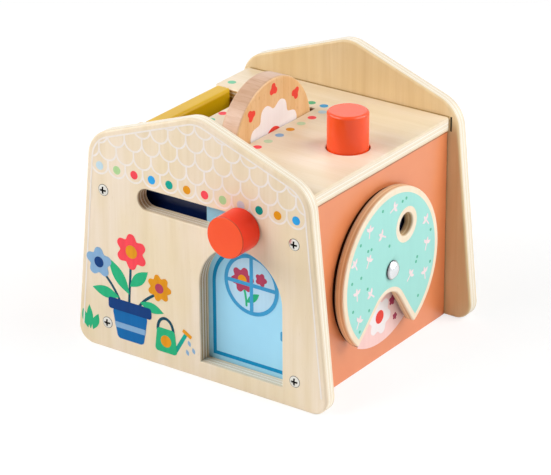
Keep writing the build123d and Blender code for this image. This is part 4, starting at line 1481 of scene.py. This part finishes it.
        # Painted shade: the wheel's back arris, next to the wall, is darkened in the plywood's joint tone.
        low, _ = box_mm("side_wheel")
        arris = (Axis.X, low[0] - self.shade_arris_depth, low[0] + self.shade_arris_depth)
        joints = (Stretch(self.shade_arris_share, (arris,)),)
        sheen = {"veneers": THIN_VENEERS, "gloss": self.gloss}
        plywood("side_wheel", Axis.X, Axis.Z, joints=joints, **sheen, **tones)
        metal = (self.chrome, self.chrome_roughness, self.chrome_scratch, Axis.X)
        dress(PlatedMetal("chrome_plated_steel", *metal), "wheel_bolt")
        self.wheel_print()
        self.wall_print()


@dataclass
class RoofDisc:
    """The thick beech disc in the roof with its flower print."""

    petal_reach: float = 27.0
    centre_radius: float = 9.0
    bud_reach: float = 34.5
    bud_radius: float = 4.4
    petals: int = 8

    def build(self) -> None:
        """Dresses the disc and prints its flower."""
        dress(TurnedBeech("beech_turned_disc", Axis.Z, Axis.X), "top_disc")
        low, high = box_mm("top_disc")
        centre = ((low + high) / 2)[1:]
        flower = Print("disc_flower_print", PrintedFace.of("top_disc", Facing.RIGHT, "disc", "beech"))
        pitch = 360 / self.petals
        petals = blossom(centre, self.petal_reach, self.petals, depth=0.2, turn=pitch / 2)
        flower.fill(petals, Ink.SNOW)
        flower.fill(circle(centre, self.centre_radius), Ink.CORAL, layer=2)
        for step in range(self.petals):
            spot = centre + polar(step * pitch, self.bud_reach)
            bud = blossom(spot, self.bud_radius, petals=3, depth=0.35, turn=step * pitch)
            flower.fill(bud, Ink.CORAL)
        flower.finish()


@dataclass
class SpringButton:
    """The round push button and the carrier of its spring."""

    button: tuple[str, str] = ("#F94E08", "#F64806")
    roughness: float = 0.26
    gloss: float = 0.5
    wire: str = "#A9ABAE"
    wire_roughness: float = 0.25

    def build(self) -> None:
        """Dresses the button's nodes."""
        sheen = {"roughness": self.roughness, "gloss": self.gloss}
        dress(SatinPaint("satin_enamel_button_red", *self.button, **sheen), "push_button")
        dress(PlatedMetal("drawn_spring_steel", self.wire, self.wire_roughness), "button_spring")
        dress(TurnedBeech("beech_guide", Axis.Z), "button_guide")
        for cheek in ("button_cheek_front", "button_cheek_back"):
            plywood(cheek, Axis.Y, Axis.Z, veneers=THIN_VENEERS)
        plywood("button_shelf", Axis.Z, Axis.X, veneers=THIN_VENEERS)


@dataclass
class DropFlap:
    """The yellow board in the left wall."""

    yellow: tuple[str, str] = ("#DAAF06", "#D5A805")
    gloss: float = 0.3

    def build(self) -> None:
        """Dresses the flap."""
        dress(SatinPaint("satin_enamel_yellow", *self.yellow, gloss=self.gloss), "side_flap")


@dataclass
class Studio:
    """Pale floor, soft lamps and the camera at the photograph's place.

    The camera's values were fitted to the straight edges of the house. The lamps' places, sizes and aim are
    metres, and their strengths are watts.
    """

    focal_px: float = 2847.3
    picture_px: float = 551.0
    sensor: float = 36.0
    azimuth: float = 35.52
    elevation: float = 24.28
    roll: float = -0.36
    target: Triple = (16.3, -27.1, 80.0)
    distance: float = 1831.3
    floor_size: float = 12000.0
    floor_fill: float = 0.66
    floor_glow: float = 1.08
    world_light: float = 0.03
    clip_end: float = 100.0
    lamp_aim: Triple = (0.0, 0.0, 0.08)
    lamps: tuple[tuple[str, Triple, float, float], ...] = (
        ("key_softbox", (-0.65, -1.2, 1.25), 0.9, 16.0),
        ("left_softbox", (-1.4, -0.7, 1.0), 0.9, 15.0),
        ("upper_softbox", (1.0, 0.4, 1.6), 0.9, 11.0),
        ("side_softbox", (1.6, 0.1, 0.9), 0.9, 7.0),
        ("rim_softbox", (1.3, 1.1, 1.0), 0.9, 14.5),
        ("sheen_softbox", (-1.25, 1.75, 0.97), 1.3, 2.6),
    )

    def camera(self) -> None:
        """Makes the camera from its azimuth, elevation, roll, target and distance."""
        turn, tilt, roll = (math.radians(a) for a in (self.azimuth, self.elevation, self.roll))
        back = Vector((math.sin(turn) * math.cos(tilt), -math.cos(turn) * math.cos(tilt), math.sin(tilt)))
        right = (-back).cross(Vector((0, 0, 1))).normalized()
        up = right.cross(-back)
        across = math.cos(roll) * right + math.sin(roll) * up
        upward = -math.sin(roll) * right + math.cos(roll) * up
        data = bpy.data.cameras.new("photo_camera")
        data.sensor_width = self.sensor
        data.lens = self.focal_px / self.picture_px * self.sensor
        data.clip_end = self.clip_end
        camera = bpy.data.objects.new("photo_camera", data)
        bpy.context.scene.collection.objects.link(camera)
        place = (Vector(self.target) + back * self.distance) * MM
        turned_axes = Matrix((across, upward, back)).transposed().to_4x4()
        camera.matrix_world = Matrix.Translation(place) @ turned_axes
        bpy.context.scene.camera = camera

    def lamp(self, name: str, place: Sequence[float], size: float, power: float) -> None:
        """Adds a square soft box that looks at the house.

        Args:
            name: the lamp's name.
            place: where it stands, in metres.
            size: its side, in metres.
            power: its strength in watts.
        """
        data = bpy.data.lights.new(name, "AREA")
        data.shape = "SQUARE"
        data.size = size
        data.energy = power
        lamp = bpy.data.objects.new(name, data)
        bpy.context.scene.collection.objects.link(lamp)
        aim = Vector(self.lamp_aim) - Vector(place)
        lamp.matrix_world = Matrix.Translation(place) @ aim.to_track_quat("-Z", "Y").to_matrix().to_4x4()

    def floor(self) -> None:
        """Makes the floor: white, and partly self-lit where the camera or a mirror sees it."""
        half = self.floor_size / 2 * MM
        corners = [(-half, -half, 0), (half, -half, 0), (half, half, 0), (-half, half, 0)]
        mesh = bpy.data.meshes.new("studio_floor")
        mesh.from_pydata(corners, [], [(0, 1, 2, 3)])
        floor = bpy.data.objects.new("studio_floor", mesh)
        bpy.context.scene.collection.objects.link(floor)
        material = bpy.data.materials.new("white_paper_floor")
        material.use_nodes = True
        tree = material.node_tree
        tree.nodes.clear()
        share = maths(tree, "MULTIPLY", self.seen(tree), self.floor_fill)
        paper = add_node(tree, "ShaderNodeBsdfDiffuse", {"Color": WHITE}).outputs[0]
        glow = add_node(tree, "ShaderNodeEmission", {"Color": WHITE, "Strength": self.floor_glow}).outputs[0]
        mix = add_node(tree, "ShaderNodeMixShader", {0: share, 1: paper, 2: glow}).outputs[0]
        add_node(tree, "ShaderNodeOutputMaterial", {"Surface": mix})
        mesh.materials.append(material)

    def seen(self, tree: NodeTree) -> NodeSocket:
        """Is 1 for rays from the camera and for mirrored or refracted rays."""
        path = add_node(tree, "ShaderNodeLightPath").outputs
        mirrored = maths(tree, "MAXIMUM", path["Is Camera Ray"], path["Is Glossy Ray"])
        return maths(tree, "MAXIMUM", mirrored, path["Is Transmission Ray"])

    def world(self) -> None:
        """Sets the world: white to the camera and to mirrors, and a plain soft light to all else."""
        world = bpy.data.worlds.new("studio_world")
        world.use_nodes = True
        tree = world.node_tree
        tree.nodes.clear()
        strength = window(tree, self.seen(tree), 0.0, 1.0, self.world_light, 1.0)
        light = add_node(tree, "ShaderNodeBackground", {"Color": WHITE, "Strength": strength}).outputs[0]
        add_node(tree, "ShaderNodeOutputWorld", {"Surface": light})
        bpy.context.scene.world = world

    def build(self) -> None:
        """Makes the camera, the lamps, the floor and the world."""
        bpy.context.scene.view_settings.view_transform = "Standard"
        self.camera()
        self.world()
        self.floor()
        for lamp in self.lamps:
            self.lamp(*lamp)


def main() -> None:
    """Builds the looks in order."""
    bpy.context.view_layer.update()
    Studio().build()
    Shell().build()
    GablePrint().build()
    RoofPrint().build()
    SlidingDoor().build()
    TurningWheel().build()
    RoofDisc().build()
    SpringButton().build()
    DropFlap().build()


if __name__ == "__main__":
    logging.basicConfig(level=logging.INFO, format="%(message)s")
    main()
